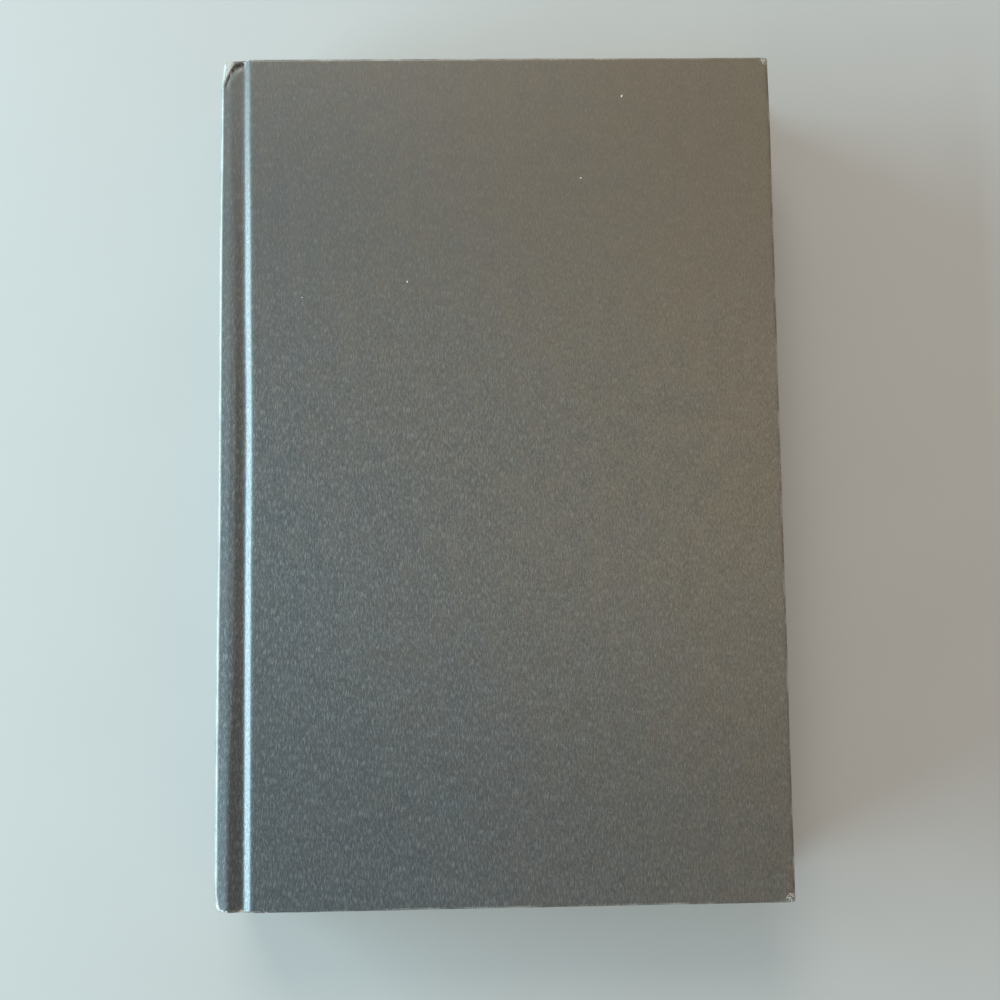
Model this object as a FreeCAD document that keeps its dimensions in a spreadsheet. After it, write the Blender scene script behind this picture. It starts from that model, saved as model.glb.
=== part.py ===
"""Hardback book, case bound, lying on its back cover.

Frame, in millimetres: +X from the spine to the fore edge, +Y from tail to
head, +Z up through the closed book. The origin is on the underside of the
back cover, at the middle of its outline.
"""
import FreeCAD, Part
import math
import os
import re

import Sketcher

Vector = FreeCAD.Vector

# Driving sizes, in millimetres unless the note says otherwise.
SIZES = [
    ("case_width", 160.0, "spine face to fore edge of the covers"),
    ("case_height", 241.0, "tail to head of the covers"),
    ("square", 3.0, "how far the covers stand past the trimmed pages"),
    ("page_stack", 22.0, "thickness of the sewn pages"),
    ("signatures", 10, "number of folded sections in the page block"),
    ("fold_notch", 0.5, "depth of the notch between two section folds"),
    ("board_thickness", 2.5, "binder's board of each cover"),
    ("board_foot_run", 2.0, "slope that the joint iron pressed into the board"),
    ("board_round", 0.5, "softened board edges"),
    ("case_paper", 0.25, "covering paper of the case"),
    ("turn_in", 15.0, "covering paper folded inside, from the case edge"),
    ("mitre_gap", 0.2, "slit where two turn-ins meet at a corner"),
    ("endpaper", 0.2, "pastedown and flyleaf"),
    ("leaf_gap", 0.05, "air between the pastedown and the flyleaf"),
    ("mull", 0.25, "open cloth glued over the back of the pages"),
    ("mull_flange", 28.0, "mull under the pastedown, from the joint"),
    ("mull_clearance", 0.5, "mull stops short of the turn-ins"),
    ("lining", 0.2, "paper lining over the mull"),
    ("hollow", 0.4, "air between the lining and the spine board"),
    ("spine_board", 2.4, "stiff board inside the flat spine"),
    ("spine_round", 1.0, "outer radius of the long spine edges"),
    ("shoulder_width", 4.7, "flat strip from the spine face to the groove"),
    ("shoulder_lap", 0.7, "strip that belongs to the joint, before the groove"),
    ("groove_wall_run", 1.8, "slope of the spine side of the groove"),
    ("groove_floor", 1.2, "width of the bottom of the groove"),
    ("groove_lap", 0.5, "bottom of the groove that is glued to the cover"),
    ("shoulder_round", 0.8, "outer radius where the shoulder turns down"),
    ("groove_round", 0.5, "radius in the bottom of the groove"),
    ("bead_radius", 0.8, "woven bead of the head and tail bands"),
    ("bead_inset", 0.3, "bead centre, in from the back of the pages"),
]

# Places that follow from the driving sizes. Heights are those of the front
# cover; the back cover is its mirror image about the middle of the pages.
PLACES = [
    ("fore_x", "case_width / 2"),
    ("spine_x", "-case_width / 2"),
    ("spine_board_x", "spine_x + case_paper"),
    ("hollow_x", "spine_board_x + spine_board"),
    ("lining_x", "hollow_x + hollow"),
    ("mull_x", "lining_x + lining"),
    ("back_x", "mull_x + mull"),
    ("shoulder_end_x", "spine_x + shoulder_width"),
    ("joint_start_x", "shoulder_end_x - shoulder_lap"),
    ("groove_start_x", "shoulder_end_x + groove_wall_run"),
    ("board_foot_x", "groove_start_x + groove_floor"),
    ("board_top_x", "board_foot_x + board_foot_run"),
    ("joint_end_x", "board_foot_x - groove_lap"),
    ("board_fore_x", "fore_x - case_paper"),
    ("page_fore_x", "fore_x - square"),
    ("turn_x", "fore_x - turn_in"),
    ("flange_x", "joint_end_x + mull_flange"),
    ("case_half", "case_height / 2"),
    ("board_half", "case_half - case_paper"),
    ("page_half", "case_half - square"),
    ("turn_half", "case_half - turn_in"),
    ("mull_half", "turn_half - mull_clearance"),
    ("under_board", "max(case_paper; mull)"),
    ("cover_thickness", "endpaper + under_board + board_thickness + case_paper"),
    ("book_thickness", "page_stack + 2 * (endpaper + leaf_gap + cover_thickness)"),
    ("middle_z", "book_thickness / 2"),
    ("pages_low_z", "middle_z - page_stack / 2"),
    ("pages_top_z", "middle_z + page_stack / 2"),
    ("flyleaf_top_z", "pages_top_z + endpaper"),
    ("cover_low_z", "flyleaf_top_z + leaf_gap"),
    ("paste_top_z", "cover_low_z + endpaper"),
    ("board_low_z", "paste_top_z + under_board"),
    ("board_top_z", "board_low_z + board_thickness"),
    ("turn_low_z", "board_low_z - case_paper"),
    ("groove_z", "board_low_z + case_paper"),
    ("fold_radius", "(paste_top_z - pages_top_z) / 2"),
    ("fold_x", "back_x + fold_radius"),
    ("foot_slope", "sqrt(board_foot_run ^ 2 + board_thickness ^ 2)"),
    ("foot_shift", "case_paper * (foot_slope - board_foot_run) / board_thickness"),
    ("section_pitch", "page_stack / signatures"),
    ("hinge_x", "(mull_x + back_x) / 2"),
    ("hinge_z", "(cover_low_z + book_thickness) / 2"),
]

SIZE_NAMES = {name for name, _, _ in SIZES}
PLACE_NAMES = {name for name, _ in PLACES}

doc = FreeCAD.newDocument("HardbackBook")
sheet = doc.addObject("Spreadsheet::Sheet", "Sizes")
for row, (name, size, note) in enumerate(SIZES, start=1):
    sheet.set(f"A{row}", str(size))
    sheet.setAlias(f"A{row}", name)
    sheet.set(f"B{row}", note)
doc.recompute()


def linked(text):
    """Point each plain name in an expression at the object that holds it."""
    def owner(match):
        word = match.group(0)
        if word in SIZE_NAMES:
            return "Sizes." + word
        return "Places." + word if word in PLACE_NAMES else word
    return re.sub(r"[a-z_]+", owner, text)


places = doc.addObject("App::VarSet", "Places")
for name, formula in PLACES:
    places.addProperty("App::PropertyFloat", name, "Places")
    places.setExpression(name, linked(formula))
    doc.recompute()


def size(name):
    """Read one driving size or worked-out place, in millimetres."""
    return float(getattr(sheet if name in SIZE_NAMES else places, name))


def bind(item, **formulas):
    """Tie an object's properties to the sizes."""
    for prop, formula in formulas.items():
        item.setExpression(prop.replace("_at_", "."), linked(formula))
    return item


def box(name, x_from, x_to, y_from, y_to, z_from, z_to):
    """Box between six expressions."""
    block = doc.addObject("Part::Box", name)
    bind(block, Length=f"({x_to}) - ({x_from})", Width=f"({y_to}) - ({y_from})",
         Height=f"({z_to}) - ({z_from})")
    place = {"Placement.Base.x": x_from, "Placement.Base.y": y_from,
             "Placement.Base.z": z_from}
    for prop, formula in place.items():
        block.setExpression(prop, linked(formula))
    return block


def cut(name, base, tool):
    """Take one solid out of another."""
    result = doc.addObject("Part::Cut", name)
    result.Base, result.Tool = base, tool
    return result


def fuse(name, *solids):
    """Join solids into one."""
    result = doc.addObject("Part::MultiFuse", name)
    result.Shapes = list(solids)
    return result


def mirrored(name, front):
    """Back cover's twin of a front cover piece."""
    twin = doc.addObject("Part::Mirroring", name)
    twin.Source, twin.Normal = front, Vector(0, 0, 1)
    twin.setExpression("Base.z", linked("middle_z"))
    return twin


def origin_plane(body, role):
    """One of a body's own origin planes."""
    return next(f for f in body.Origin.OriginFeatures if f.Role == role)


def section_sketch(body, name, corners):
    """Closed outline in the XZ plane, each corner held by two expressions."""
    sketch = body.newObject("Sketcher::SketchObject", name)
    sketch.AttachmentSupport = (origin_plane(body, "XZ_Plane"), [""])
    sketch.MapMode = "FlatFace"
    rough = [Vector(math.cos(turn), math.sin(turn), 0) for turn in
             (2 * math.pi * i / len(corners) for i in range(len(corners)))]
    for i, start in enumerate(rough):
        end = rough[(i + 1) % len(rough)]
        sketch.addGeometry(Part.LineSegment(start, end), False)
    for i in range(len(corners)):
        following = (i + 1) % len(corners)
        sketch.addConstraint(Sketcher.Constraint("Coincident", i, 2, following, 1))
    for i, (x, z) in enumerate(corners):
        for kind, formula in (("DistanceX", x), ("DistanceY", z)):
            here = rough[i].x if kind == "DistanceX" else rough[i].y
            index = sketch.addConstraint(
                Sketcher.Constraint(kind, -1, 1, i, 1, here))
            sketch.setExpression(f"Constraints[{index}]", linked(formula))
    return sketch


def section_body(name, corners, length):
    """Body padded along Y, centred on the book, from an XZ outline."""
    body = doc.addObject("PartDesign::Body", name)
    pad = body.newObject("PartDesign::Pad", name + "_pad")
    pad.Profile = section_sketch(body, name + "_section", corners)
    pad.SideType = "Symmetric"
    bind(pad, Length=length)
    doc.recompute()
    return body


def round_edges(body, radius, wanted):
    """Fillet the edges of a body's tip that a test picks."""
    tip = body.Tip
    picked = [f"Edge{i}" for i, edge in enumerate(tip.Shape.Edges, start=1)
              if wanted(edge)]
    rounding = body.newObject("PartDesign::Fillet", body.Name + "_rounding")
    rounding.Base = (tip, picked)
    bind(rounding, Radius=radius)
    doc.recompute()
    return body


def near(value, name):
    """Whether a coordinate lies on a named place."""
    return abs(value - size(name)) < 1e-6


def rounded_edges(points, radii):
    """Lines and arcs along a path in the XZ plane, tangent at each bend."""
    edges = []
    reached = points[0]
    for before, here, after, radius in zip(points, points[1:], points[2:], radii):
        arriving = (here - before).normalize()
        leaving = (after - here).normalize()
        half_turn = arriving.getAngle(leaving) / 2
        reach = radius * math.tan(half_turn)
        start, end = here - arriving * reach, here + leaving * reach
        if (start - reached).Length > 1e-6:
            edges.append(Part.LineSegment(reached, start).toShape())
        if radius > 1e-6:
            inward = (leaving - arriving).normalize()
            centre = here + inward * (radius / math.cos(half_turn))
            middle = centre - inward * radius
            edges.append(Part.Arc(start, middle, end).toShape())
        reached = end
    if (points[-1] - reached).Length > 1e-6:
        edges.append(Part.LineSegment(reached, points[-1]).toShape())
    return edges


def ribbon(path, thickness, low_y, high_y):
    """Sheet of even thickness that follows a path.

    The path gives (x, z, radius) along the sheet's outer face. The sheet
    lies to the right of its direction of travel, and a bend keeps one centre
    for both faces.
    """
    outer = [Vector(x, low_y, z) for x, z, _ in path]
    radii = [radius for _, _, radius in path[1:-1]]
    headings = [(b - a).normalize() for a, b in zip(outer, outer[1:])]
    sides = [Vector(way.z, 0, -way.x) for way in headings]
    inner = [outer[0] + sides[0] * thickness]
    inner_radii = []
    for i, radius in enumerate(radii):
        mitre = (sides[i] + sides[i + 1]).normalize()
        spread = thickness / mitre.dot(sides[i])
        inner.append(outer[i + 1] + mitre * spread)
        towards = headings[i + 1].dot(sides[i]) > 0
        inner_radii.append(radius - thickness if towards else radius + thickness)
    inner.append(outer[-1] + sides[-1] * thickness)
    edges = rounded_edges(outer, radii) + rounded_edges(inner, inner_radii)
    edges.append(Part.LineSegment(outer[0], inner[0]).toShape())
    edges.append(Part.LineSegment(outer[-1], inner[-1]).toShape())
    face = Part.Face(Part.Wire(Part.__sortEdges__(edges)))
    return face.extrude(Vector(0, high_y - low_y, 0))


def sheet_piece(name, shape):
    """Document object that holds a bent sheet."""
    piece = doc.addObject("Part::Feature", name)
    piece.Shape = shape
    piece.Placement = FreeCAD.Placement()
    return piece


def page_block():
    """Sewn pages, with a notch between the folds of two sections."""
    block = section_body("text_block", [
        ("back_x", "pages_low_z"), ("page_fore_x", "pages_low_z"),
        ("page_fore_x", "pages_top_z"), ("back_x", "pages_top_z")],
        "2 * page_half")
    whole = block.Shape.Volume
    notch = block.newObject("PartDesign::Pocket", "fold_notch_cut")
    notch.Profile = section_sketch(block, "fold_notch_section", [
        ("back_x", "pages_low_z + section_pitch - fold_notch / 2"),
        ("back_x + fold_notch", "pages_low_z + section_pitch"),
        ("back_x", "pages_low_z + section_pitch + fold_notch / 2")])
    notch.SideType = "Symmetric"
    bind(notch, Length="2 * page_half")
    doc.recompute()
    if not block.Shape.Volume < whole:
        raise RuntimeError("the fold notch cuts nothing")
    folds = block.newObject("PartDesign::LinearPattern", "fold_notches")
    folds.Originals = [notch]
    folds.Direction = (notch.Profile[0], ["V_Axis"])
    bind(folds, Length="section_pitch * (signatures - 2)",
         Occurrences="signatures - 1")
    block.Tip = folds
    return block


def cover_board():
    """Binder's board, with the slope that the joint iron left."""
    board = section_body("front_board", [
        ("board_foot_x", "board_low_z"), ("board_fore_x", "board_low_z"),
        ("board_fore_x", "board_top_z"), ("board_top_x", "board_top_z")],
        "2 * board_half")

    def softened(edge):
        return not any(near(v.X, "board_foot_x") for v in edge.Vertexes[:1]) \
            or edge.BoundBox.XLength > size("board_foot_run") + 1
    return round_edges(board, "board_round", softened)


def cover_paper(board):
    """Covering paper round a board: face, edges and the turned-in rim."""
    paper = section_body("front_paper_blank", [
        ("joint_end_x", "turn_low_z"), ("fore_x", "turn_low_z"),
        ("fore_x", "book_thickness"),
        ("board_top_x - foot_shift", "book_thickness"),
        ("board_foot_x - foot_shift", "groove_z"), ("joint_end_x", "groove_z")],
        "case_height")
    foot_x = size("board_foot_x") - size("foot_shift")

    def softened(edge):
        if edge.BoundBox.XLength > size("board_foot_run") + 1:
            return edge.BoundBox.ZMin > size("groove_z") \
                or edge.BoundBox.ZMax < size("groove_z")
        return edge.BoundBox.XMin > foot_x + 1e-6
    round_edges(paper, "board_round + case_paper", softened)
    hollowed = cut("front_paper_shell", paper, board)
    window = box("front_paper_window", "joint_end_x - turn_in", "turn_x",
                 "-turn_half", "turn_half", "turn_low_z - turn_in", "board_low_z")
    opened = cut("front_paper_rim", hollowed, window)
    slits = []
    for end, side in (("head", 1), ("tail", -1)):
        slit = box(f"{end}_mitre_slit", "0", "turn_in * sqrt(2)", "0", "mitre_gap",
                   "0", "2 * case_paper")
        slit.Placement.Rotation = FreeCAD.Rotation(Vector(0, 0, 1), side * 45)
        slit.setExpression("Placement.Base.x", linked("turn_x - square / 2"))
        slit.setExpression("Placement.Base.y",
                           linked(f"{side} * (turn_half - square / 2)"))
        slit.setExpression("Placement.Base.z",
                           linked("board_low_z - 2 * case_paper"))
        slits.append(slit)
    return cut("front_cover_paper", opened, fuse("mitre_slits", *slits))


def joint_path():
    """Outer face of the covering paper, from the shoulder into the groove."""
    top, floor = size("book_thickness"), size("groove_z")
    return [(size("joint_start_x"), top, 0),
            (size("shoulder_end_x"), top, size("shoulder_round")),
            (size("groove_start_x"), floor, size("groove_round")),
            (size("joint_end_x"), floor, 0)]


def joint_paper():
    """Covering paper of the joint, doubled by its turn-ins."""
    paper, half, turn = size("case_paper"), size("case_half"), size("turn_half")
    layers = [ribbon(joint_path(), paper, -half, half),
              ribbon(joint_path(), 2 * paper, -half, -turn),
              ribbon(joint_path(), 2 * paper, turn, half)]
    shape = layers[0].multiFuse(layers[1:]).removeSplitter()
    return sheet_piece("front_joint_paper", shape)


def spine_board():
    """Stiff board of the flat spine."""
    board = section_body("spine_board", [
        ("spine_board_x", "case_paper"), ("hollow_x", "case_paper"),
        ("hollow_x", "book_thickness - case_paper"),
        ("spine_board_x", "book_thickness - case_paper")], "2 * board_half")
    return round_edges(board, "spine_round - case_paper", lambda edge: near(
        edge.BoundBox.XMax, "spine_board_x") and edge.BoundBox.YLength > 1)


def spine_paper(board):
    """Covering paper round the spine board and over both shoulders."""
    paper = section_body("spine_paper_blank", [
        ("spine_x", "0"), ("joint_start_x", "0"),
        ("joint_start_x", "book_thickness"), ("spine_x", "book_thickness")],
        "case_height")
    round_edges(paper, "spine_round", lambda edge: near(
        edge.BoundBox.XMax, "spine_x") and edge.BoundBox.YLength > 1)
    inside = box("spine_inside", "hollow_x + case_paper", "joint_start_x + hollow",
                 "-case_height", "case_height",
                 "2 * case_paper", "book_thickness - 2 * case_paper")
    window = box("spine_window", "hollow_x", "joint_start_x + hollow",
                 "-turn_half", "turn_half",
                 "case_paper", "book_thickness - case_paper")
    bare = cut("spine_paper_bare", cut("spine_paper_shell", paper, inside), board)
    return cut("spine_paper", bare, window)


def pastedown():
    """Endpaper glued inside the cover, sunk between the turn-ins."""
    leaf = box("pastedown_leaf", "joint_end_x", "page_fore_x",
               "-page_half", "page_half", "cover_low_z", "paste_top_z")
    raised = box("pastedown_raised", "flange_x", "turn_x",
                 "-turn_half", "turn_half", "cover_low_z", "board_low_z")
    sunk = box("pastedown_sunk", "flange_x + endpaper", "turn_x - endpaper",
               "-turn_half + endpaper", "turn_half - endpaper",
               "cover_low_z", "board_low_z - endpaper")
    return cut("front_pastedown", fuse("pastedown_sheet", leaf, raised), sunk)


def endpaper_fold():
    """Fold of the endpaper, from the flyleaf round to the pastedown."""
    low, high = size("pages_top_z"), size("paste_top_z")
    bend = size("fold_radius")
    path = [(size("fold_x"), low, 0), (size("back_x"), low, bend),
            (size("back_x"), high, bend), (size("joint_end_x"), high, 0)]
    half = size("page_half")
    return sheet_piece("front_endpaper_fold",
                       ribbon(path, size("endpaper"), -half, half))


def spine_mull():
    """Mull down the back of the pages, turned over both shoulders."""
    back, edge, top = size("mull_x"), size("joint_start_x"), size("board_low_z")
    bottom, half = size("book_thickness") - top, size("mull_half")
    bend = size("mull") + size("fold_radius") / 2
    path = [(edge, bottom, 0), (back, bottom, bend), (back, top, bend),
            (edge, top, 0)]
    return sheet_piece("spine_mull", ribbon(path, size("mull"), -half, half))


def band(name, side):
    """Head or tail band: a woven bead on a tape glued behind the pages."""
    inner, outer = "mull_half", "page_half + bead_radius"
    ends = (inner, outer) if side > 0 else ("-" + inner, f"-({outer})")
    low, high = ends if side > 0 else ends[::-1]
    tape = box(name + "_tape", "mull_x", "back_x", low, high,
               "pages_low_z", "pages_top_z")
    bead = doc.addObject("Part::Cylinder", name + "_bead")
    bind(bead, Radius="bead_radius", Height="page_stack")
    bead.setExpression("Placement.Base.x", linked("back_x + bead_inset"))
    bead.setExpression("Placement.Base.y",
                       linked(f"{side} * (page_half + bead_radius)"))
    bead.setExpression("Placement.Base.z", linked("pages_low_z"))
    return fuse(name, tape, bead)


def front_cover():
    """Pieces of the front cover and its joint, closed on the pages."""
    board = cover_board()
    flange = box("front_mull_flange", "joint_end_x", "flange_x", "-mull_half",
                 "mull_half", "board_low_z - mull", "board_low_z")
    crossing = box("front_joint_mull", "joint_start_x", "joint_end_x",
                   "-mull_half", "mull_half", "board_low_z - mull", "board_low_z")
    flyleaf = box("front_flyleaf", "fold_x", "page_fore_x", "-page_half",
                  "page_half", "pages_top_z", "flyleaf_top_z")
    return [board, cover_paper(board), joint_paper(), pastedown(), flyleaf,
            endpaper_fold(), flange, crossing]


def whole_book():
    """All sub-parts of the book, each a document object."""
    front = front_cover()
    back = [mirrored(piece.Name.replace("front", "back"), piece)
            for piece in front]
    stiffener = spine_board()
    lining = box("spine_lining", "lining_x", "mull_x", "-mull_half", "mull_half",
                 "pages_low_z", "pages_top_z")
    return front + back + [page_block(), stiffener, spine_paper(stiffener),
                           spine_mull(), lining, band("head_band", 1),
                           band("tail_band", -1)]


def check(pieces):
    """Stop unless every object computed and every sub-part is one solid."""
    for item in doc.Objects:
        if "Invalid" in item.State or "Error" in item.State:
            raise RuntimeError(f"{item.Name} failed: {item.State}")
    for piece in pieces:
        shape = piece.Shape
        if shape.isNull() or not shape.isValid() or len(shape.Solids) != 1:
            raise RuntimeError(f"{piece.Name} is not one valid solid")


subparts = whole_book()
for part in subparts:
    part.Label = part.Name
doc.recompute()
check(subparts)
os.makedirs("parts", exist_ok=True)
for part in subparts:
    part.Shape.exportStep(f"parts/{part.Label}.step")
    print(part.Label, round(part.Shape.Volume, 3), "cubic mm")
for name in ("hinge_x", "hinge_z", "book_thickness", "pages_top_z"):
    print(name, round(size(name), 4))
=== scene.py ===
"""Hardback book, dressed in its covering paper, leaves, bands and linings.

Frame, as in the CAD: +X from the spine to the fore edge, +Y from tail to
head, +Z up through the closed book. Sizes here are in millimetres, and turn
into metres where a mesh is made.
"""

import logging
import math
import random
from collections.abc import Sequence
from dataclasses import astuple, dataclass
from enum import Enum

import bmesh
import bpy
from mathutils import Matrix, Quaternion, Vector, noise

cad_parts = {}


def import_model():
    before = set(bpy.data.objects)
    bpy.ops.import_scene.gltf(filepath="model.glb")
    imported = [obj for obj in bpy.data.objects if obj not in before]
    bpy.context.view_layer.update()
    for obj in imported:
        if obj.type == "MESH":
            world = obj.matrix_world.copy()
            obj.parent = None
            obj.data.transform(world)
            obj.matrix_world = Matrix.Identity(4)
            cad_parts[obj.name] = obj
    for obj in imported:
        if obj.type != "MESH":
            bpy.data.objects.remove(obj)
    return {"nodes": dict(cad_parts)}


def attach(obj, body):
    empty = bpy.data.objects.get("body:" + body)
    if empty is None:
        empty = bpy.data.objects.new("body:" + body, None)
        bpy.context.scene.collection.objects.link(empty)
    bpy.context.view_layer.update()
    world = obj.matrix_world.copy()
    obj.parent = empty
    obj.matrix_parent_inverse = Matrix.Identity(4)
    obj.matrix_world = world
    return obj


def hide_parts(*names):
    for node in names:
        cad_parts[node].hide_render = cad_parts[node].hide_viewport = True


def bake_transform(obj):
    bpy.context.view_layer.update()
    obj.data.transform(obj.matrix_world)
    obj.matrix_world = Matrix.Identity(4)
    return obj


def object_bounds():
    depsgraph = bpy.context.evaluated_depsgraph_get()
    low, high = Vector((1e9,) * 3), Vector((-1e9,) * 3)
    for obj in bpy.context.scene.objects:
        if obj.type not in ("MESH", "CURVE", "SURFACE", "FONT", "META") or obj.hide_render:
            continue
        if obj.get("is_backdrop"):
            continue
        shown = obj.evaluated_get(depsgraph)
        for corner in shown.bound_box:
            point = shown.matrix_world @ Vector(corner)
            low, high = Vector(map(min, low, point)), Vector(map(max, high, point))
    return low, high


LOG = logging.getLogger("hardback_book")
MM = 0.001
MERGE = 1e-6
UV_NAME = "sheet"

Point = tuple[float, float, float]
Colour = tuple[float, float, float]
Span = tuple[float, float]
Socket = bpy.types.NodeSocket

BLACK: Colour = (0.0, 0.0, 0.0)
ENDPAPER_PALE: Colour = (0.755, 0.71, 0.61)
ENDPAPER_DEEP: Colour = (0.725, 0.68, 0.58)
NOISE_SPAN: Span = (0.3, 0.7)


class Side(Enum):
    """Which cover a piece belongs to."""

    FRONT = "front"
    BACK = "back"


def ease(t: float) -> float:
    """Smooth step from 0 to 1, flat outside that range."""
    t = min(max(t, 0.0), 1.0)
    return t * t * (3.0 - 2.0 * t)


def eased(value: float, start: float, end: float) -> float:
    """Smooth step of a value between two places, which may run downwards."""
    return ease((value - start) / (end - start))


def rounded_ramp(x: float, start: float, end: float, foot: float, crest: float) -> float:
    """Ramp from 0 to 1 whose two corners are rounded.

    Args:
        x: where the ramp is read.
        start: where the straight ramp would leave 0.
        end: where it would reach 1.
        foot: width of the rounding at the start.
        crest: width of the rounding at the end.

    Returns:
        Height of the ramp, 0 to 1.
    """
    def bend(u: float, width: float) -> float:
        if u <= -width / 2:
            return 0.0
        if u >= width / 2:
            return u
        return (u + width / 2) ** 2 / (2 * width)
    return (bend(x - start, foot) - bend(x - end, crest)) / (end - start)


def steps(start: float, end: float, pitch: float) -> list[float]:
    """Even places from start up to, but without, end, about a pitch apart."""
    count = max(1, round(abs(end - start) / pitch))
    return [start + (end - start) * i / count for i in range(count)]


def quarter_turn(count: int) -> list[float]:
    """Angles of a quarter turn in even steps, both ends among them."""
    return [math.pi / 2 * i / count for i in range(count + 1)]


@dataclass(frozen=True)
class GrooveSection:
    """Cross-section of a joint groove at one place along the spine."""

    y: float
    wall_start: float
    wall_end: float
    shoulder: float
    floor: float
    droop: float
    foot: float

    def between(self, other: "GrooveSection", y: float) -> "GrooveSection":
        """Section at a place on the way to another one."""
        t = eased(y, self.y, other.y)
        return GrooveSection(*(a + (b - a) * t
                               for a, b in zip(astuple(self), astuple(other))))


@dataclass(frozen=True)
class KnockedCorner:
    """Spine corner that knocks have rounded and pushed in."""

    lean: float
    tuck: float
    radius: float
    reach: float
    lean_from: float = 7.5
    tuck_from: float = 5.0
    tucked_to: float = 0.8
    fade: float = 13.0

    def shift(self, from_spine: float, from_end: float) -> tuple[float, float]:
        """How far a point of the perfect corner has moved.

        Args:
            from_spine: its distance from the spine face.
            from_end: its distance from the head or the tail.

        Returns:
            Way in from the spine face, and way in from the head or the tail.
        """
        fall = self.lean * eased(from_spine, self.lean_from, self.radius)
        short = self.radius - max(from_spine, 0.0)
        if short > 0.0:
            fall += self.radius - math.sqrt(self.radius ** 2 - short ** 2)
        tuck = self.tuck * eased(from_end, self.reach, self.tucked_to) \
            * eased(from_spine, self.tuck_from, 0.0)
        return tuck, fall * eased(from_end, self.fade, 0.0)


@dataclass(frozen=True)
class Crease:
    """Sharp fold inside a knocked corner, along a quarter of an ellipse.

    Outside the fold the paper is rubbed bare. The last three sizes say where,
    on the flat sheet.
    """

    x: float = -72.6
    y: float = 111.3
    reach_x: float = 5.6
    reach_y: float = 8.7
    depth: float = 0.8
    drop: float = 0.3
    rise_to: float = 2.3
    still_x: float = -72.9
    gone_x: float = -72.2
    fade_in: float = 5.0
    bare_rise: Span = (-82.0, -81.4)
    bare_fall: Span = (-75.9, -75.0)
    bare_from: Span = (112.5, 116.5)

    def depth_at(self, x: float, y: float) -> float:
        """How deep the fold is at a place on the front of the book."""
        across = max(self.x - x, 0.0) / self.reach_x
        along = max(y - self.y, 0.0) / self.reach_y
        inside = (1.0 - math.hypot(across, along)) * (self.reach_x + self.reach_y) / 2
        fade = eased(y, self.y, self.y + self.fade_in) \
            * eased(x, self.gone_x, self.still_x)
        rise = (self.rise_to - inside) / (self.rise_to - self.drop)
        return self.depth * fade * eased(inside, 0.0, self.drop) \
            * min(max(rise, 0.0), 1.0) ** 2


@dataclass(frozen=True)
class Bow:
    """Part of the spine's bow: how far in it goes, and from where to where."""

    depth: float
    start: float
    end: float


@dataclass(frozen=True)
class Waver:
    """Wander of a worn edge: how far, over which lengths, and its noise layer."""

    depth: float
    along: float
    up: float
    layer: float


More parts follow.
